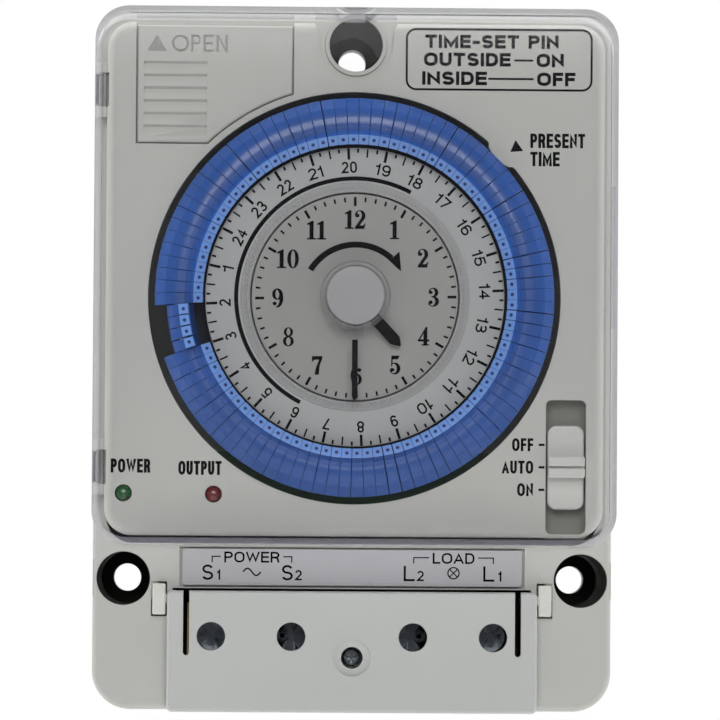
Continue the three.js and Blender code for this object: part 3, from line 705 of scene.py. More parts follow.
FIGURES = {
    "0": (0.62, [swell((0.31, 0.5, 0.31, 0.51), (0.31, 0.5, 0.11, 0.45), 0, 360, 40)]),
    "1": (0.46, [
        [(0.13, 0), (0.35, 0), (0.35, 1.0), (0.28, 1.0), (0.13, 0.86)],
        [(0.0, 0), (0.48, 0), (0.48, 0.08), (0.0, 0.08)],
        [(0.0, 0.78), (0.2, 0.8), (0.35, 1.0), (0.26, 1.0), (0.0, 0.86)],
    ]),
    "2": (0.58, [
        swell((0.27, 0.70, 0.29, 0.31), (0.23, 0.71, 0.13, 0.25), -32, 168),
        spot(0.12, 0.72, 0.12, 0.10),
        [(0.52, 0.56), (0.34, 0.60), (0.0, 0.10), (0.0, 0.0), (0.2, 0.1)],
        [(0.0, 0), (0.5, 0), (0.57, 0.30), (0.52, 0.30), (0.44, 0.19), (0.1, 0.19), (0.0, 0.1)],
    ]),
    "3": (0.56, [
        swell((0.25, 0.75, 0.27, 0.26), (0.20, 0.75, 0.13, 0.20), -85, 160),
        swell((0.25, 0.27, 0.31, 0.28), (0.19, 0.27, 0.16, 0.22), -160, 88),
        spot(0.11, 0.76, 0.11, 0.09),
        spot(0.11, 0.23, 0.11, 0.10),
        [(0.15, 0.48), (0.32, 0.48), (0.32, 0.56), (0.15, 0.56)],
    ]),
    "4": (0.62, [
        [(0.30, 0.0), (0.51, 0.0), (0.51, 1.0), (0.44, 1.0), (0.30, 0.80)],
        [(0.20, 0), (0.61, 0), (0.61, 0.07), (0.20, 0.07)],
        [(0.0, 0.22), (0.62, 0.22), (0.62, 0.33), (0.0, 0.33)],
        [(0.0, 0.26), (0.1, 0.26), (0.48, 1.0), (0.42, 1.0)],
    ]),
    "5": (0.56, [
        swell((0.26, 0.31, 0.30, 0.32), (0.20, 0.31, 0.16, 0.25), -160, 135),
        spot(0.12, 0.24, 0.12, 0.10),
        [(0.06, 0.42), (0.13, 0.46), (0.15, 0.9), (0.07, 1.0)],
        [(0.07, 0.80), (0.42, 0.80), (0.52, 1.0), (0.07, 1.0)],
    ]),
    "6": (0.6, [
        swell((0.31, 0.5, 0.31, 0.51), (0.40, 0.5, 0.20, 0.46), 75, 285),
        swell((0.32, 0.30, 0.28, 0.31), (0.32, 0.29, 0.10, 0.25), 0, 360, 36),
        spot(0.46, 0.80, 0.11, 0.10),
    ]),
    "7": (0.56, [
        [(0.0, 0.70), (0.05, 0.70), (0.12, 0.80), (0.54, 0.80), (0.56, 1.0), (0.08, 0.99), (0.0, 1.0)],
        [(0.40, 0.84), (0.55, 0.84), (0.42, 0.50), (0.37, 0.0), (0.14, 0.0), (0.21, 0.36)],
    ]),
    "8": (0.58, [
        swell((0.29, 0.76, 0.25, 0.25), (0.29, 0.77, 0.10, 0.19), 0, 360, 36),
        swell((0.29, 0.27, 0.29, 0.28), (0.29, 0.26, 0.12, 0.21), 0, 360, 36),
    ]),
    "9": (0.6, [
        swell((0.29, 0.5, 0.31, 0.51), (0.20, 0.5, 0.20, 0.46), -105, 105),
        swell((0.28, 0.70, 0.28, 0.31), (0.28, 0.71, 0.10, 0.25), 0, 360, 36),
        spot(0.14, 0.20, 0.11, 0.10),
    ]),
}


def serif_number(ink, number, x, y, height):
    gap = 0.08
    figures = [FIGURES[c] for c in str(number)]
    total = sum(width for width, _ in figures) + gap * (len(figures) - 1)
    start = -total / 2

    def set_out(points):
        return [(x + (start + px) * height, y + (py - 0.5) * height) for px, py in points]

    for width, shapes in figures:
        for shape in shapes:
            if isinstance(shape, tuple):
                ink.band(set_out(shape[0]), set_out(shape[1]))
            else:
                ink.polygon(set_out(shape))
        start += width + gap


# ---------------------------------------------------------------- housing


def build_housing():
    outline = BASE.outline(BASE_CORNER, 14)
    body = plate([outline], BASE.back, BASE.front, 1.0, 4)
    bay = rounded_box(BASE.left + BASE_WALL, -30.8, BASE.right - BASE_WALL, BASE.top - BASE_WALL, 4.5)
    tools = [
        prism(bay, BASE_WALL, BASE.front + 1),
        box(-30.4, BASE.bottom + BASE_WALL, 10.2, 30.4, -38.4, BASE.front + 1),
        box(-29.3, -38.2, BASE.front - 0.8, 29.3, -31.4, BASE.front + 1),
    ]
    for screw in TERMINALS:
        entry_top = BASE.bottom + BASE_WALL + 1
        tools.append(box(screw.x - 4, BASE.bottom - 1, 21.5, screw.x + 4, entry_top, 31.5))
    for side in (-1, 1):
        clip = side * 32.7
        tools.append(box(clip - 1.35, -43.2, BASE.front - 2.4, clip + 1.35, -37.3, BASE.front + 1))
    body = combine(body, tools)
    bosses = [rod(6.0, well, 1.0, BASE.front - 0.35, 72) for well in WELLS[:2]]
    bosses.append(rod(5.2, WELLS[2], 1.0, BASE.front + 3.9, 96))
    limits = plate([outline], 0.5, 41, 0.6, 3)
    bosses = [combine(boss, [limits.copy()], "INTERSECT") for boss in bosses]
    body = combine(body, bosses, "UNION")
    tools = []
    for well in WELLS:
        tools.append(rod(WELL_RADIUS, well, WELL_SEAT, BASE.front + 5, 80))
        tools.append(rod(WELL_HOLE, well, -1, WELL_SEAT + 1, 56))
    body = combine(body, tools)
    body = soften(body, 0.18, 2, 50)
    place("housing_shell", body, HOUSING, "housing", ["rear_housing"], 30)

    # A thin dark sheet in each well is painted shade that shows its depth.
    outer, inner = WELL_RADIUS - 0.02, WELL_RADIUS - 0.07
    hole = WELL_HOLE + 0.02
    for index, well in enumerate(WELLS):
        top = BASE.front + (-0.35 if index < 2 else 3.5)
        profile = [(outer, WELL_SEAT), (outer, top), (inner, top), (inner, WELL_SEAT + 0.06),
                   (hole, WELL_SEAT + 0.06), (hole, WELL_SEAT)]
        place(f"well_shade_sheet_{index + 1}", lathe(profile, well, 96), WELL_PAINTED_SHADE, "housing")


def door_outline(grow):
    right = DOOR.right + grow
    bottom = DOOR.bottom - grow
    left = DOOR.left - grow
    radius = DOOR_ARC - grow
    start = 180 - math.degrees(math.asin((bottom - CENTRE[1]) / radius))
    end = math.degrees(math.acos((right - CENTRE[0]) / radius))
    points = [(left, bottom)] + arc(radius, start, end, CENTRE, 20)
    top = DOOR.top + (3 if grow else 0)
    points += [(right, top), (left, top)]
    return points


def build_panel():
    face = PANEL.front
    outline = rounded_box(PANEL_LEFT, PANEL.bottom, PANEL.right, PANEL.top, 4.6, 14)
    body = plate([outline], PANEL.back - 2.5, face, PANEL_EDGE, 6)
    inner = rounded_box(PANEL_LEFT + 1.8, PANEL.bottom + 1.8, PANEL.right - 1.8, PANEL.top - 1.8, 2)
    tools = [
        box(PANEL_LEFT - 1, PANEL.bottom - 1, PANEL.back - 4, PANEL.right + 1, PANEL.top + 1,
            BASE.front + 0.02),
        prism(inner, BASE.front - 1, face - 2.2),
        prism(opening_outline(), BASE.front - 1, face + 1),
        prism(notch_outline(), face - 1.7, face + 1),
        rod(5.25, WELLS[2], BASE.front - 1, face + 1, 96),
        prism(door_outline(0.2), face - 1.75, face + 1),
        prism(rounded_box(*SLOT, 1.0, 6), BASE.front - 1, face + 1),
    ]
    for lamp in LAMPS.values():
        tools.append(rod(1.45, lamp.middle, BASE.front - 1, face + 1, 48))
    half = HINGE_LUG / 2 + 0.3
    for pin in HINGE_PINS:
        tools.append(box(PANEL_LEFT - 1, pin.y - half, PANEL.back - 1, pin.x + 1.6, pin.y + half,
                         face - 0.9))
    body = combine(body, tools)
    body = soften(body, 0.2, 3, 50)
    place("front_panel_skin", body, PANEL_PLASTIC, "housing", ["front_panel"], 30)

    # A collar behind the opening hides the inside of the housing from the dial gap; its black is painted shade
    # in the gap.
    collar = lathe([(OPENING + 1.4, 38.3), (OPENING + 1.4, face - 2.0), (OPENING + 0.02, face - 2.0),
                    (OPENING + 0.02, 38.3)], CENTRE, 200)
    keep_out = box(-50, -31, 30, 50, PANEL.bottom + 0.6, 45)
    place("dial_collar_shade", combine(collar, [keep_out]), BLACK, "housing")

    for index, pin in enumerate(HINGE_PINS):
        ears = []
        for side in (-1, 1):
            low, high = sorted((pin.y + side * half, pin.y + side * (half + 1.8)))
            barrel = upright_rod(1.2, pin.x, pin.back + 0.45, low, high)
            root = box(pin.x, low, PANEL.back + 0.7, PANEL_LEFT + 1.2, high, PANEL.back + 2.8, 0.15)
            ears += [barrel, root]
        place(f"hinge_ears_{index + 1}", join(ears), PANEL_PLASTIC, "housing")


def opening_outline():
    """The dial opening, with the rounded tongue that points at the present time."""
    # Half the tongue, as radius and degrees from the pointer's middle.
    tongue = [(34.9, 5.4), (34.75, 4.6), (34.25, 4.0), (33.95, 2.6), (33.85, 0.0)]
    tongue = fillet(tongue + [(radius, -spread) for radius, spread in tongue[-2::-1]], 0.6, 4, False)
    points = [polar(radius, POINTER_ANGLE + spread, CENTRE) for radius, spread in tongue]
    rest = arc(OPENING, POINTER_ANGLE - 5.6, POINTER_ANGLE - 354.4, CENTRE, 240)
    return points + rest


def notch_outline():
    """The U in the top edge round the upper screw well."""
    x, y = WELLS[2]
    radius = 6.3
    top = PANEL.top + 2
    sides = [(radius + 1.2, top), (radius + 0.9, y + 4.0), (radius + 0.2, y + 2.4), (radius, y)]
    points = [(x + across, up) for across, up in sides] + arc(radius, 0, -180, (x, y), 32)[1:-1]
    points += [(x - across, up) for across, up in sides[::-1]]
    return fillet(points, 0.8, 4)


def door_letters(x, y, height):
    """Outlines of the word on the door, each letter as its outer edge and any hole in it."""
    pen = 0.14
    p, e, n = 1.12, 1.84, 2.6
    n_right = 3.26
    letters = [
        [bow(0.5, 0.5, 0.5, 0.5, 0, 354, 59), bow(0.5, 0.5, 0.5 - pen, 0.5 - pen, 0, 354, 59)],
        [
            [(p, 0), (p + pen, 0), (p + pen, 0.44), *bow(1.42, 0.72, 0.26, 0.28, -90, 90), (p, 1)],
            [(p + pen, 0.54), *bow(1.4, 0.715, 0.17, 0.175, -90, 90), (p + pen, 0.89)],
        ],
        [
            [(e, 0), (2.42, 0), (2.42, pen), (e + pen, pen), (e + pen, 0.45), (2.38, 0.45),
             (2.38, 0.45 + pen), (e + pen, 0.45 + pen), (e + pen, 1 - pen), (2.42, 1 - pen), (2.42, 1), (e, 1)],
        ],
        [
            [(n, 0), (n + pen, 0), (n + pen, 0.8), (n_right - pen, 0), (n_right, 0), (n_right, 1),
             (n_right - pen, 1), (n_right - pen, 0.2), (n + pen, 1), (n, 1)],
        ],
    ]
    scaled = []
    for loops in letters:
        scaled.append([[(x + px * height, y + (py - 0.5) * height) for px, py in loop] for loop in loops])
    return scaled


def build_door():
    face = PANEL.front
    body = plate([door_outline(0)], face - 1.4, face - 0.02, 0.42, 4)
    tools = []
    for i in range(6):
        y = 50.3 - 2.16 * i
        # Each groove dips sharply at its top and runs out slowly at its foot, as a thumb grip does.
        profile = [(y + 0.45, face + 0.2), (y + 0.45, face), (y + 0.02, face - 0.55), (y - 1.55, face),
                   (y - 1.55, face + 0.2)]
        n = len(profile)
        vertices = [(x, py, pz) for x in (-35.9, -25.2) for py, pz in profile]
        faces = [list(range(n)), list(range(n, 2 * n))[::-1]]
        faces += [[k, k + n, (k + 1) % n + n, (k + 1) % n] for k in range(n)]
        tools.append(weld(make_mesh("wedge", vertices, faces)))
    # The word and its arrow are sunk into the door.
    deep = face - 0.35
    arrow = [(-35.35, 52.4), (-32.05, 52.4), (-33.7, 55.15)]
    letters = door_letters(-31.2, 53.75, 2.9)
    tools.append(prism(arrow, deep, face + 1))
    tools += [plate(loops, deep, face + 1) for loops in letters]
    body = soften(combine(body, tools), 0.06, 2, 40)
    place("battery_door_skin", body, PANEL_PLASTIC, "battery_door", ["battery_door"], 30)
    # The floors of the sunk word and arrow are painted shade in the recesses.
    floor = Print(deep)
    floor.polygon(arrow)
    for loops in letters:
        floor.polygon(loops[0])
    floor.finish("battery_door_letter_shade", "battery_door", LETTER_RECESS_SHADE)


# ---------------------------------------------------------------- clear cover


def build_cover():
    outer = rounded_box(COVER.left, COVER.bottom, COVER_RIGHT, COVER.top, 5.7, 14)
    inner = rounded_box(COVER.left + COVER_WALL, COVER.bottom + COVER_WALL, COVER_RIGHT - COVER_WALL,
                        COVER.top - COVER_WALL, 4.5, 14)
    walls = plate([outer], COVER.back - 3, COVER.front, 1.1, 6)
    pin_depth = HINGE_PINS[0].back + 0.45
    tools = [
        prism(inner, COVER.back - 4, COVER.front + 1),
        box(COVER.left - 1, COVER.bottom - 1, COVER.back - 4, 45, COVER.top + 1, pin_depth),
    ]
    half = HINGE_LUG / 2
    reach = half + 2.4
    lugs = []
    for pin in HINGE_PINS:
        tools.append(box(COVER.left - 1, pin.y - reach, COVER.back - 2, COVER.left + COVER_WALL + 0.3,
                         pin.y + reach, pin_depth + 1.7))
        lugs.append(upright_rod(1.2, pin.x, pin_depth, pin.y - half, pin.y + half))
        lugs.append(box(COVER.left, pin.y - half, pin_depth, pin.x + 0.2, pin.y + half, pin_depth + 1.7,
                        0.12))
    walls = soften(combine(walls, tools), 0.12, 2, 50)
    lip = box(43.5, 6, pin_depth + 0.4, 43.98, 30, pin_depth + 2.4, 0.2)
    place("cover_walls", join([walls, lip]), CLEAR_EDGE, "cover", ["clear_cover"], 30)
    place("cover_hinge_lugs", join(lugs), CLEAR, "cover")
    window = plate([inner], COVER.front - 1.6, COVER.front - 0.01, 0.03, 1)
    place("cover_window", window, CLEAR, "cover")


# ---------------------------------------------------------------- trip pins

# Radius and depth round one pin, from its foot over the crest to the tip face that points inwards.
TIP = [(25.55, 47.32), (27.2, 47.95)]
PIN_PROFILE = [
    (29.2, 41.4), (30.8, 41.4), (33.2, 42.5), (33.72, 43.2), *bow(29.3, 41.9, 4.45, 4.3, 52, 98, 9),
    (27.95, 46.4), (27.5, 47.0), TIP[1], TIP[0], (25.6, 46.9), (26.7, 45.9), (28.4, 44.0),
]


def shrink(outline, amount):
    """The outline moved inwards by the amount."""
    centre = sum((Vector(p) for p in outline), Vector((0, 0))) / len(outline)
    sides = stroke(outline, 2 * amount, True)
    return min(sides, key=lambda side: sum((Vector(p) - centre).length for p in side))


def pin_mesh(angle, flip, gap_before, gap_after):
    """One pin. Material 0 is its body, 1 the tip face, painted paler as light on the face, and 2 the dot in it.
    """
    half = math.tan(math.radians(PIN_PITCH / 2))
    outline = fillet(PIN_PROFILE, 0.12, 2)
    small = shrink(outline, 0.05)
    vertices = []
    rings = ((small, -1, gap_before), (outline, -1, gap_before + 0.14), (outline, 1, gap_after + 0.14),
             (small, 1, gap_after))
    for ring, side, gap in rings:
        vertices += [(r, side * (r * half - gap / 2), d) for r, d in ring]
    n = len(outline)
    faces = [list(range(n)), list(range(3 * n, 4 * n))[::-1]]
    for level in range(3):
        for i in range(n):
            j = (i + 1) % n
            faces.append([level * n + i, level * n + j, level * n + n + j, level * n + n + i])
    mesh = weld(make_mesh("pin", vertices, faces))
    work = bmesh.new()
    work.from_mesh(mesh)
    (low_r, low_d), (high_r, high_d) = TIP
    tip_normal = Vector((low_d - high_d, 0, high_r - low_r)).normalized()
    for face in work.faces:
        middle = face.calc_center_median()
        on_tip = face.normal.dot(tip_normal) > 0.7 and middle.x < 27.3 and middle.z > 47.0
        face.material_index = 1 if on_tip else 0
    middle = Vector(((low_r + high_r) / 2, (gap_after - gap_before) / 4, (low_d + high_d) / 2))
    facing = tip_normal.to_track_quat("Z", "Y").to_matrix().to_4x4()
    dot = bmesh.ops.create_circle(work, cap_ends=True, segments=20, radius=0.3,
                                  matrix=Matrix.Translation(middle + tip_normal * 0.02) @ facing)
    for face in {f for v in dot["verts"] for f in v.link_faces}:
        face.material_index = 2
    work.to_mesh(mesh)
    work.free()
    pivot = Matrix.Translation((PIVOT[0], 0, PIVOT[1]))
    rock = pivot @ Matrix.Rotation(math.radians(flip), 4, "Y") @ pivot.inverted()
    around = Matrix.Translation((*CENTRE, 0)) @ Matrix.Rotation(math.radians(angle), 4, "Z")
    mesh.transform(around @ rock)
    return mesh


def build_pins():
    chance = random.Random(7)
    materials = [BLUE, PIN_TIP_LIT_BLUE, DOT_BLUE]
    gaps = [chance.choice((0.04, 0.04, 0.06, 0.06, 0.1, 0.16)) for _ in range(PINS + 1)]
    fixed = []
    for i in range(PINS):
        angle = FIRST_FREE_ANGLE + i * PIN_PITCH
        flip = FLIP if i < FLIPPED_PINS else 0.0
        mesh = pin_mesh(angle, flip, gaps[i], gaps[i + 1])
        if i < FREE_PINS:
            name = f"trip_pin_{i + 1}"
            place(f"{name}_skin", mesh, materials, name, [name], 30)
        else:
            fixed.append(mesh)
    place("trip_pin_set_skin", join(fixed), materials, "dial", ["trip_pin_set"], 30)


# ---------------------------------------------------------------- dial, clock face and hands


def hour_angle(hour):
    return HOUR_20_ANGLE + 15 * (hour - 20)


def gear_outline(teeth, module, phase, centre):
    pitch = teeth * module / 2
    step = 360 / teeth
    points = []
    for i in range(teeth):
        middle = phase + i * step
        for radius, offset in ((pitch - module * 1.15, -0.29), (pitch + module * 0.85, -0.1),
                               (pitch + module * 0.85, 0.1), (pitch - module * 1.15, 0.29)):
            points.append(polar(radius, middle + step * offset, centre))
    return points


def build_dial():
    face = DIAL.front - 1.0
    seat = 40.9
    profile = [
        (4.1, DIAL.back), (6.2, DIAL.back), (6.2, 38.2), (30.6, 38.2), (30.6, seat), (25.2, seat),
        (25.2, face), (17.7, face), (17.7, face - 1.2), (24.0, face - 1.2), (24.0, 39.4), (4.1, 39.4),
    ]
    disc = lathe(fillet(profile, 0.12, 2), CENTRE, 240)
    gear = gear_outline(28, 6 / 7, 180, CENTRE)
    gear = soften(plate([gear, circle(5.5, CENTRE, 64)], DIAL.back, DIAL.back + 1.4), 0.1)
    place("dial_disc", join([disc, gear]), DIAL_PLASTIC, "dial", ["dial_ring"])
    # A dark ring over the pin seat and the drum wall is painted shade under the pins.
    shadow = [(25.22, seat + 0.02), (30.55, seat + 0.02), (30.55, seat + 0.12), (25.34, seat + 0.12),
              (25.34, face - 0.5), (25.22, face - 0.5)]
    place("dial_pin_seat_shade", lathe(shadow, CENTRE, 240), PIN_SEAT_SHADE, "dial")

    # The clear rim stands up round the clock face: two ridges, each finely notched along its crest.
    profile = [(17.6, 0.0), (17.6, 0.75), (17.85, 1.0), (18.15, 0.97), (18.35, 0.35), (18.5, 0.35),
               (18.65, 0.9), (18.95, 0.98), (19.25, 0.7), (19.3, 0.0)]
    crests = {2, 3, 6, 7}
    sides = 720
    vertices, faces = [], []
    n = len(profile)
    for i in range(sides):
        low = 0.3 if i % 5 < 2 else 0.0
        for k, (radius, height) in enumerate(profile):
            drop = low if k in crests else 0.0
            vertices.append((*polar(radius, 360 * i / sides, CENTRE), face + 0.01 + height - drop))
        j = (i + 1) % sides
        for k in range(n):
            m = (k + 1) % n
            faces.append([i * n + k, i * n + m, j * n + m, j * n + k])
    rim = weld(make_mesh("rim", vertices, faces), 1e-5)
    place("dial_rim", rim, CLEAR_RIM, "dial", sharp=60)

    ink = Print(face)
    quarter = (24.35, 25.05, 0.34)
    ticks = ((23.2, 25.1, 0.46), quarter, (23.6, 25.05, 0.28), quarter)
    for i in range(4 * 24):
        angle = hour_angle(i / 4)
        start, end, width = ticks[i % 4]
        ink.line(polar(start, angle, CENTRE), polar(end, angle, CENTRE), width)
    for hour in range(1, 25):
        angle = hour_angle(hour)
        x, y = polar(21.9, angle, CENTRE)
        ink.text(str(hour), x, y, 1.95, 1.2 if hour < 10 else 2.6, 0.16, 0.5, angle - 90)
    start, end = hour_angle(18) - 0.6, hour_angle(30)
    ink.band(arc(20.35, start, end, CENTRE, 120), arc(19.65, start, end, CENTRE, 120))
    ink.finish("dial_print", "dial", INK)


def build_clock_face():
    face = CLOCK.front
    profile = [(2.9, face - 14), (3.8, face - 14), (3.8, face - 1.2), (17.4, face - 1.2), (17.4, face),
               (2.9, face)]
    disc = lathe(fillet(profile, 0.1, 2), CENTRE, 200)
    place("clock_face_disc", disc, FACE_PLASTIC, "housing", ["clock_face"])
    # The print sits a little off the true middle, as it does on such a disc.
    middle = (CENTRE[0] + 0.15, CENTRE[1] - 0.08)
    lean = 0.7
    ink = Print(face)
    for i in range(60):
        angle = 90 - 6 * i + lean
        inner, width = (15.45, 0.46) if i % 5 == 0 else (16.15, 0.32)
        ink.line(polar(inner, angle, middle), polar(16.95, angle, middle), width)
    for hour in range(1, 13):
        x, y = polar(13.15, 90 - 30 * hour + lean, middle)
        serif_number(ink, hour, x, y, 3.15)
    ink.band(arc(9.45, 149, 48, middle, 40), arc(8.42, 149, 48, middle, 40))
    head = ((10.7, 47), (8.85, 30.5), (8.55, 36), (8.42, 48.2))
    ink.polygon([polar(radius, angle, middle) for radius, angle in head])
    ink.finish("clock_face_print", "housing", INK)


def build_hands():
    hour = FaceBox("hour_hand")
    outline = [(4.5, -0.95), (9.85, -1.05), (11.45, 0.0), (10.05, 0.95), (4.5, 0.95)]
    outline = [(CENTRE[0] + x, CENTRE[1] + y) for x, y in fillet(outline, 0.25, 3)]
    blade = plate([turn(outline, -47, CENTRE)], hour.back, hour.front, 0.1, 2)
    hub = lathe([(2.35, hour.back), (4.7, hour.back), (4.7, hour.front), (2.35, hour.front)], CENTRE, 64)
    place("hour_hand_blade", join([blade, hub]), BLACK, "hour_works", ["hour_hand"])

    minute = FaceBox("minute_hand")
    x, y = CENTRE
    outline = [(x - 0.475, y - 7.3), (x - 0.475, y - 16.8), (x - 0.2, y - 17.4), (x + 0.2, y - 17.4),
               (x + 0.475, y - 16.8), (x + 0.475, y - 7.3)]
    place("minute_hand_blade", plate([outline], minute.back, minute.front, 0.08, 2), BLACK, "minute_works",
          ["minute_hand"])

    # The knob is a clear cup with a grey disc let into its face; the minute hand hangs from a clear stub.
    low, high = KNOB.back, KNOB.front
    cup = lathe(fillet([(1.0, low), (5.86, low), (5.86, high - 0.9), (5.55, high - 0.6), (5.1, high - 0.6),
                        (5.1, low + 0.8), (1.0, low + 0.8)], 0.14, 3), CENTRE, 160)
    stub = [(x - 1.3, y - 4.9), (x - 1.3, y - 6.5), (x - 0.85, y - 7.2), (x + 0.85, y - 7.2), (x + 1.3, y - 6.5),
            (x + 1.3, y - 4.9)]
    stub = plate([fillet(stub, 0.3, 3)], low, low + 0.7, 0.12, 2)
    place("setting_knob_skin", join([cup, stub]), CLEAR_KNOB, "minute_works", ["setting_knob"])
    cap = plate([circle(4.85, CENTRE, 160)], low + 0.9, high, 0.22, 4)
    place("setting_knob_cap", cap, KNOB_CAP, "minute_works")


# ---------------------------------------------------------------- switch, lamps and label


def build_switch():
    left, bottom, right, top = SLOT
    # The floor's darker grey is painted shade in the slot.
    floor = plate([rounded_box(left - 0.8, bottom - 0.8, right + 0.8, top + 0.8, 1.4)], 36.9, 37.4)
    window = prism(rounded_box(34.2, -23.6, 37.6, -11.6, 0.4, 3), 36, 38)
    place("slot_floor", combine(floor, [window]), SLOT_FLOOR_SHADE, "housing")

    middle = SLIDER.y
    body = plate([SLIDER.outline(1.5, 8)], 38.4, 40.6, 0.35, 4)
    parts = [body, box(34.6, middle - 1.4, 33.2, 37.2, middle + 1.4, 38.8, 0.1)]
    for side in (-1, 1):
        y = middle + side * 0.95
        parts.append(box(SLIDER.left, y - 0.8, 40.0, SLIDER.right, y + 0.8, SLIDER.front, 0.25, 3))
    parts.append(box(SLIDER.left + 0.05, middle - 1.0, 40.0, SLIDER.right - 0.05, middle + 1.0, 42.5, 0.1))
    place("switch_slider_skin", join(parts), SLIDER_PLASTIC, "mode_slider", ["switch_slider"])


def build_lamps():
    lenses = (("led_power", GREEN_LENS, "led_green"), ("led_output", RED_LENS, "led_red"))
    for name, material, slot in lenses:
        lamp = LAMPS[name]
        tip = lamp.front
        profile = [(0, lamp.back), (1.6, lamp.back), (1.6, tip - 6.3), (1.33, tip - 6.3), (1.33, tip - 0.9)]
        profile += bow(0, tip - 0.9, 1.33, 0.9, 15, 75, 4)
        profile.append((0, tip))
        place(f"{name}_lens", lathe(profile, lamp.middle, 64), material, "housing", [name])


def build_print():
    ink = Print(PANEL.front)
    outer = rounded_box(8.4, 46.1, 40.1, 56.7, 1.8)
    inner = rounded_box(8.76, 46.46, 39.74, 56.34, 1.44)
    ink.band(outer, inner, True)
    pin_key = (("TIME-SET PIN", 11.7, 54.45, 22.6), ("OUTSIDE", 11.5, 51.4, 14.7), ("ON", 30.6, 51.35, 4.6),
               ("INSIDE", 11.2, 48.2, 11.0), ("OFF", 30.7, 48.15, 6.5))
    for words, x, y, width in pin_key:
        ink.text(words, x, y, 2.3, width, 0.25)
    ink.line((26.8, 51.3), (30.0, 51.3), 0.36)
    ink.line((22.4, 48.15), (30.1, 48.15), 0.36)
    ink.text("PRESENT", 29.6, 37.7, 2.45, 9.3, 0.2, gap=0.07)
    ink.text("TIME", 29.6, 34.6, 2.45, 5.0, 0.2, gap=0.07)
    ink.polygon([(26.2, 35.75), (28.4, 35.95), (27.1, 37.8)])
    for word, y, width in (("OFF", -13.8, 3.6), ("AUTO", -17.6, 5.3), ("ON", -21.4, 2.7)):
        ink.text(word, 30.4, y, 2.2, width, 0.2, 1.0, gap=0.09)
        ink.line((31.3, y), (32.3, y), 0.4)
    ink.text("POWER", LAMPS["led_power"].x + 1.2, -17.8, 2.36, 6.7, 0.2, 0.5, gap=0.07)
    ink.text("OUTPUT", LAMPS["led_output"].x - 2.3, -18.1, 2.36, 7.3, 0.2, 0.5, gap=0.07)
    ink.finish("panel_print", "housing", INK)


def build_label():
    front = LABEL.front
    body = plate([LABEL.outline(0.5, 4)], LABEL.back, front, 0.12, 2)
    place("terminal_label_skin", body, LABEL_PLASTIC, "housing", ["terminal_label"])
    ink = Print(front)
    groups = ((-17.0, "POWER", 9.4, ("S1", "S2")), (17.2, "LOAD", 7.1, ("L2", "L1")))
    for centre, word, width, marks in groups:
        ink.text(word, centre, -33.1, 1.85, width, 0.17, 0.5)
        for side, mark in zip((-1, 1), marks):
            x = centre + side * 6.75
            ink.text(mark[0], x - 0.75, -35.7, 2.6, 1.9, 0.14, 0.5)
            ink.text(mark[1], x + 1.15, -36.1, 1.75, 0.6 if mark[1] == "1" else 1.15, 0.16, 0.5)
            near = centre + side * (width / 2 + 0.6)
            ink.line((near, -33.0), (x, -33.0), 0.2)
            ink.line((x, -32.9), (x, -34.0), 0.2)
    draw_wave(ink, -17.0, -35.6)
    draw_lamp(ink, 17.2, -35.6)
    ink.finish("label_print", "housing", INK)


def draw_wave(ink, x, y):
    """A generic sign for the mains."""
    ink.band(*stroke([(x - 1.5 + t / 8, y + 0.6 * math.sin(math.tau * t / 24)) for t in range(25)], 0.26))


def draw_lamp(ink, x, y):
    """A generic sign for the load: a lamp."""
    ink.band(*stroke(circle(0.95, (x, y), 32), 0.22, True), True)
    for angle in (45, 135):
        ink.line(polar(0.9, angle, (x, y)), polar(0.9, angle + 180, (x, y)), 0.2)


# ---------------------------------------------------------------- terminal cover and terminals


def build_terminal_lid():
    face = LID.front
    back = 36.3
    screw = (0, -50)
    body = plate([LID.outline(0.9, 6)], back - 0.6, face, 0.55, 4)
    tools = [
        box(-40, -70, 30, 40, -30, back),
        box(-29.6, -57.6, 30, 29.6, -40.4, face - 1.8),
    ]
    for side in (-1, 1):
        x = side * 28.05
        slot = [(x - 0.52, -37)] + arc(0.52, 180, 360, (x, -49.2), 12) + [(x + 0.52, -37)]
        tools.append(prism(slot, 30, face + 1))
    for terminal in TERMINALS:
        tools.append(rod(2.42, terminal.middle, 30, face + 1, 64))
    tools.append(rod(3.15, screw, face - 0.55, face + 1, 72))
    body = combine(body, tools)
    boss = rod(4.2, screw, 31, face - 1.2, 64)
    body = combine(body, [boss], "UNION")
    body = combine(body, [rod(1.85, screw, 32.6, face + 1, 56), rod(1.2, screw, 30, 33, 32)])
    body = soften(body, 0.14, 2, 50)
    place("terminal_cover_skin", body, LID_PLASTIC, "terminal_lid", ["terminal_cover"], 30)


def screw_mesh(head, shank, centre, tip, seat, top):
    """A cross-head screw with a ridged shank, from its tip to the top of its head."""
    profile = [(0, tip), (shank * 0.6, tip), (shank, tip + 0.6)]
    depth = tip + 0.8
    while depth < seat - 0.8:
        profile += [(shank, depth), (shank + 0.16, depth + 0.22), (shank, depth + 0.44)]
        depth += 0.5
    profile += [(shank, seat), (head, seat), (head, top - head * 0.2), (head * 0.86, top - 0.06), (0, top)]
    body = lathe(profile, centre, 48)
    x, y = centre
    reach = head * 0.62
    tools = [
        box(x - reach, y - head * 0.13, top - 1.0, x + reach, y + head * 0.13, top + 1),
        box(x - head * 0.13, y - reach, top - 1.0, x + head * 0.13, y + reach, top + 1),
        prism(circle(head * 0.3, centre, 4), top - 1.0, top + 1),
    ]
    return soften(combine(body, tools), 0.06, 2, 45)


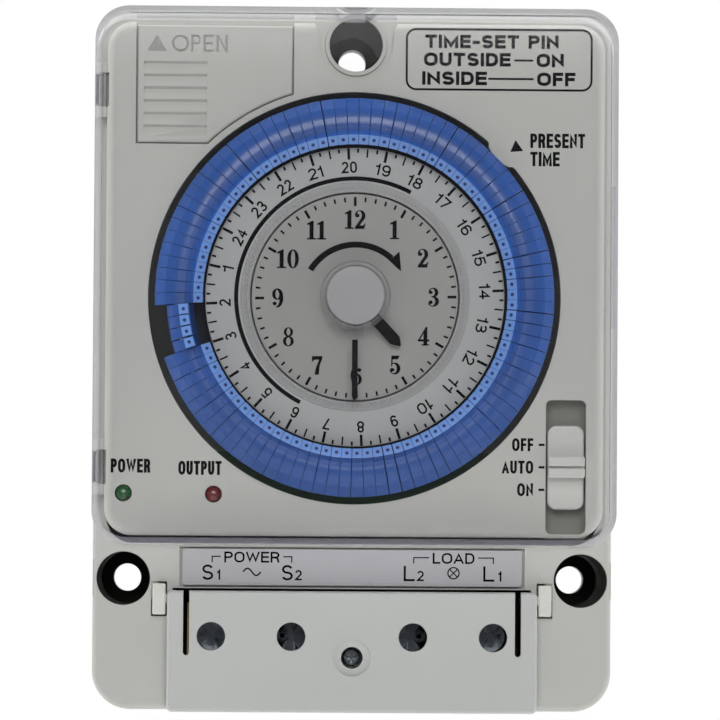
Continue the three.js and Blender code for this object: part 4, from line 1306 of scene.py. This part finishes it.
def build_terminals():
    for index, node in enumerate(TERMINALS, 1):
        name = f"terminal_screw_{index}"
        mesh = screw_mesh(2.95, 1.4, node.middle, node.back, node.front - 2.4, node.front)
        place(f"{name}_skin", mesh, DARK_STEEL, "housing", [name])
    node = FaceBox("terminal_cover_screw")
    mesh = screw_mesh(1.48, 0.8, node.middle, node.back, node.front - 1.5, node.front)
    place("terminal_cover_screw_skin", mesh, DARK_STEEL, "terminal_lid", ["terminal_cover_screw"])
    for name, side in (("cover_clip_left", -1), ("cover_clip_right", 1)):
        clip = FaceBox(name)
        body = box(clip.left, clip.bottom, clip.back, clip.right, clip.top, clip.front, 0.28, 3)
        inner = clip.right if side < 0 else clip.left
        nub = box(inner - 0.2, -41.0, clip.front - 1.2, inner + 0.2, -39.4, clip.front - 0.2, 0.15, 2)
        place(f"{name}_skin", join([body, nub]), WHITE, "housing", [name])


# ---------------------------------------------------------------- pieces that keep their CAD shape


def dress(node, material, width=0.00012):
    """Shows a CAD node as packed, with softened edges and its own finish."""
    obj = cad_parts[node]
    obj.data.materials.clear()
    obj.data.materials.append(material)
    bevel = obj.modifiers.new("bevel", "BEVEL")
    bevel.width = width
    bevel.segments = 2
    bevel.limit_method = "ANGLE"
    bevel.angle_limit = math.radians(50)


def dress_inside():
    looks = (
        (BLACK, "black", ("terminal_block", "capacitor", "slide_switch_body", "microswitch")),
        (BOARD, "board", ("circuit_board",)),
        (RELAY_BLUE, "relay", ("relay",)),
        (STEEL, "battery", ("backup_battery",)),
        (STEEL, "steel", ("motor", "movement_plate_rear", "movement_plate_middle", "minute_arbor",
                          "pin_pivot_wire", "cover_hinge_pin_upper", "cover_hinge_pin_lower")),
        (ACETAL, "movement", ("follower_lever", "movement_bridge", "centre_wheel", "hour_wheel",
                              "intermediate_wheel", "idler_wheel")),
        (BRASS, "brass", ("motor_pinion", *[f"terminal_plate_{index}" for index in range(1, 5)])),
    )
    for material, slot, nodes in looks:
        for node in nodes:
            dress(node, material)


# ---------------------------------------------------------------- stage, light and camera


def build_stage():
    floor_z = -0.135
    mesh = bpy.data.meshes.new("floor")
    size = 0.42
    corners = [(x * size, y * size, floor_z) for x, y in ((-1, -1), (1, -1), (1, 1), (-1, 1))]
    mesh.from_pydata(corners, [], [(0, 1, 2, 3)])
    floor = make_object("floor", mesh)
    mesh.materials.append(plastic("floor_paper", srgb(240, 240, 240), 0.8, 0.01, 300, 0.03))

    world = bpy.data.worlds.new("studio")
    bpy.context.scene.world = world
    nodes = Nodes(world, "ShaderNodeOutputWorld")

    def background(colour, strength):
        node = nodes.add("ShaderNodeBackground")
        node.inputs["Color"].default_value = (*colour, 1)
        node.inputs["Strength"].default_value = strength
        return node.outputs["Background"]

    path = nodes.add("ShaderNodeLightPath").outputs
    fill = background((0.98, 0.99, 1.0), 0.08)
    mirrored = background((0.97, 0.97, 1.0), 0.4)
    lit = nodes.mix(path["Is Glossy Ray"], fill, mirrored)
    seen = background((1, 1, 1), 1.0)
    nodes.link(nodes.mix(path["Is Camera Ray"], lit, seen), nodes.surface)

    # Only the front lamp is mirrored in the pins; the others light edges from behind the face.
    lights = [
        ("front", (0.0, -0.95, 0.34), (0.6, 0.42), 3.4),
        ("above", (0.0, 0.12, 0.95), (1.2, 0.4), 9.0),
        ("left", (-0.95, 0.12, 0.05), (0.4, 1.2), 6.5),
        ("right", (0.95, 0.12, 0.05), (0.4, 1.2), 6.5),
        ("below", (0.0, 0.05, -0.9), (1.2, 0.4), 8.0),
        ("rear", (0.2, 0.9, 0.4), (0.8, 0.8), 6.0),
    ]
    for name, position, (width, height), power in lights:
        data = bpy.data.lights.new(name, "AREA")
        data.shape = "RECTANGLE"
        data.size = width
        data.size_y = height
        data.energy = power
        lamp = bpy.data.objects.new(name, data)
        lamp.visible_glossy = name == "front"
        bpy.context.scene.collection.objects.link(lamp)
        lamp.location = position
        lamp.rotation_euler = (-Vector(position)).to_track_quat("-Z", "Y").to_euler()


def build_camera():
    data = bpy.data.cameras.new("camera")
    data.sensor_width = 36
    data.lens = 265
    data.clip_end = 10
    camera = bpy.data.objects.new("camera", data)
    bpy.context.scene.collection.objects.link(camera)
    position = Vector((-17.3, -936, -31.6)) * MM
    target = Vector((1.1, -36, 0.5)) * MM
    aim = (target - position).to_track_quat("-Z", "Y")
    camera.location = position
    camera.rotation_euler = (aim.to_matrix() @ Matrix.Rotation(math.radians(0.39), 3, "Z")).to_euler()
    bpy.context.scene.camera = camera
    bpy.context.scene.view_settings.view_transform = "Standard"


# ---------------------------------------------------------------- assembly

build_housing()
build_panel()
build_door()
build_cover()
build_pins()
build_dial()
build_clock_face()
build_hands()
build_switch()
build_lamps()
build_print()
build_label()
build_terminal_lid()
build_terminals()
dress_inside()
build_stage()
build_camera()
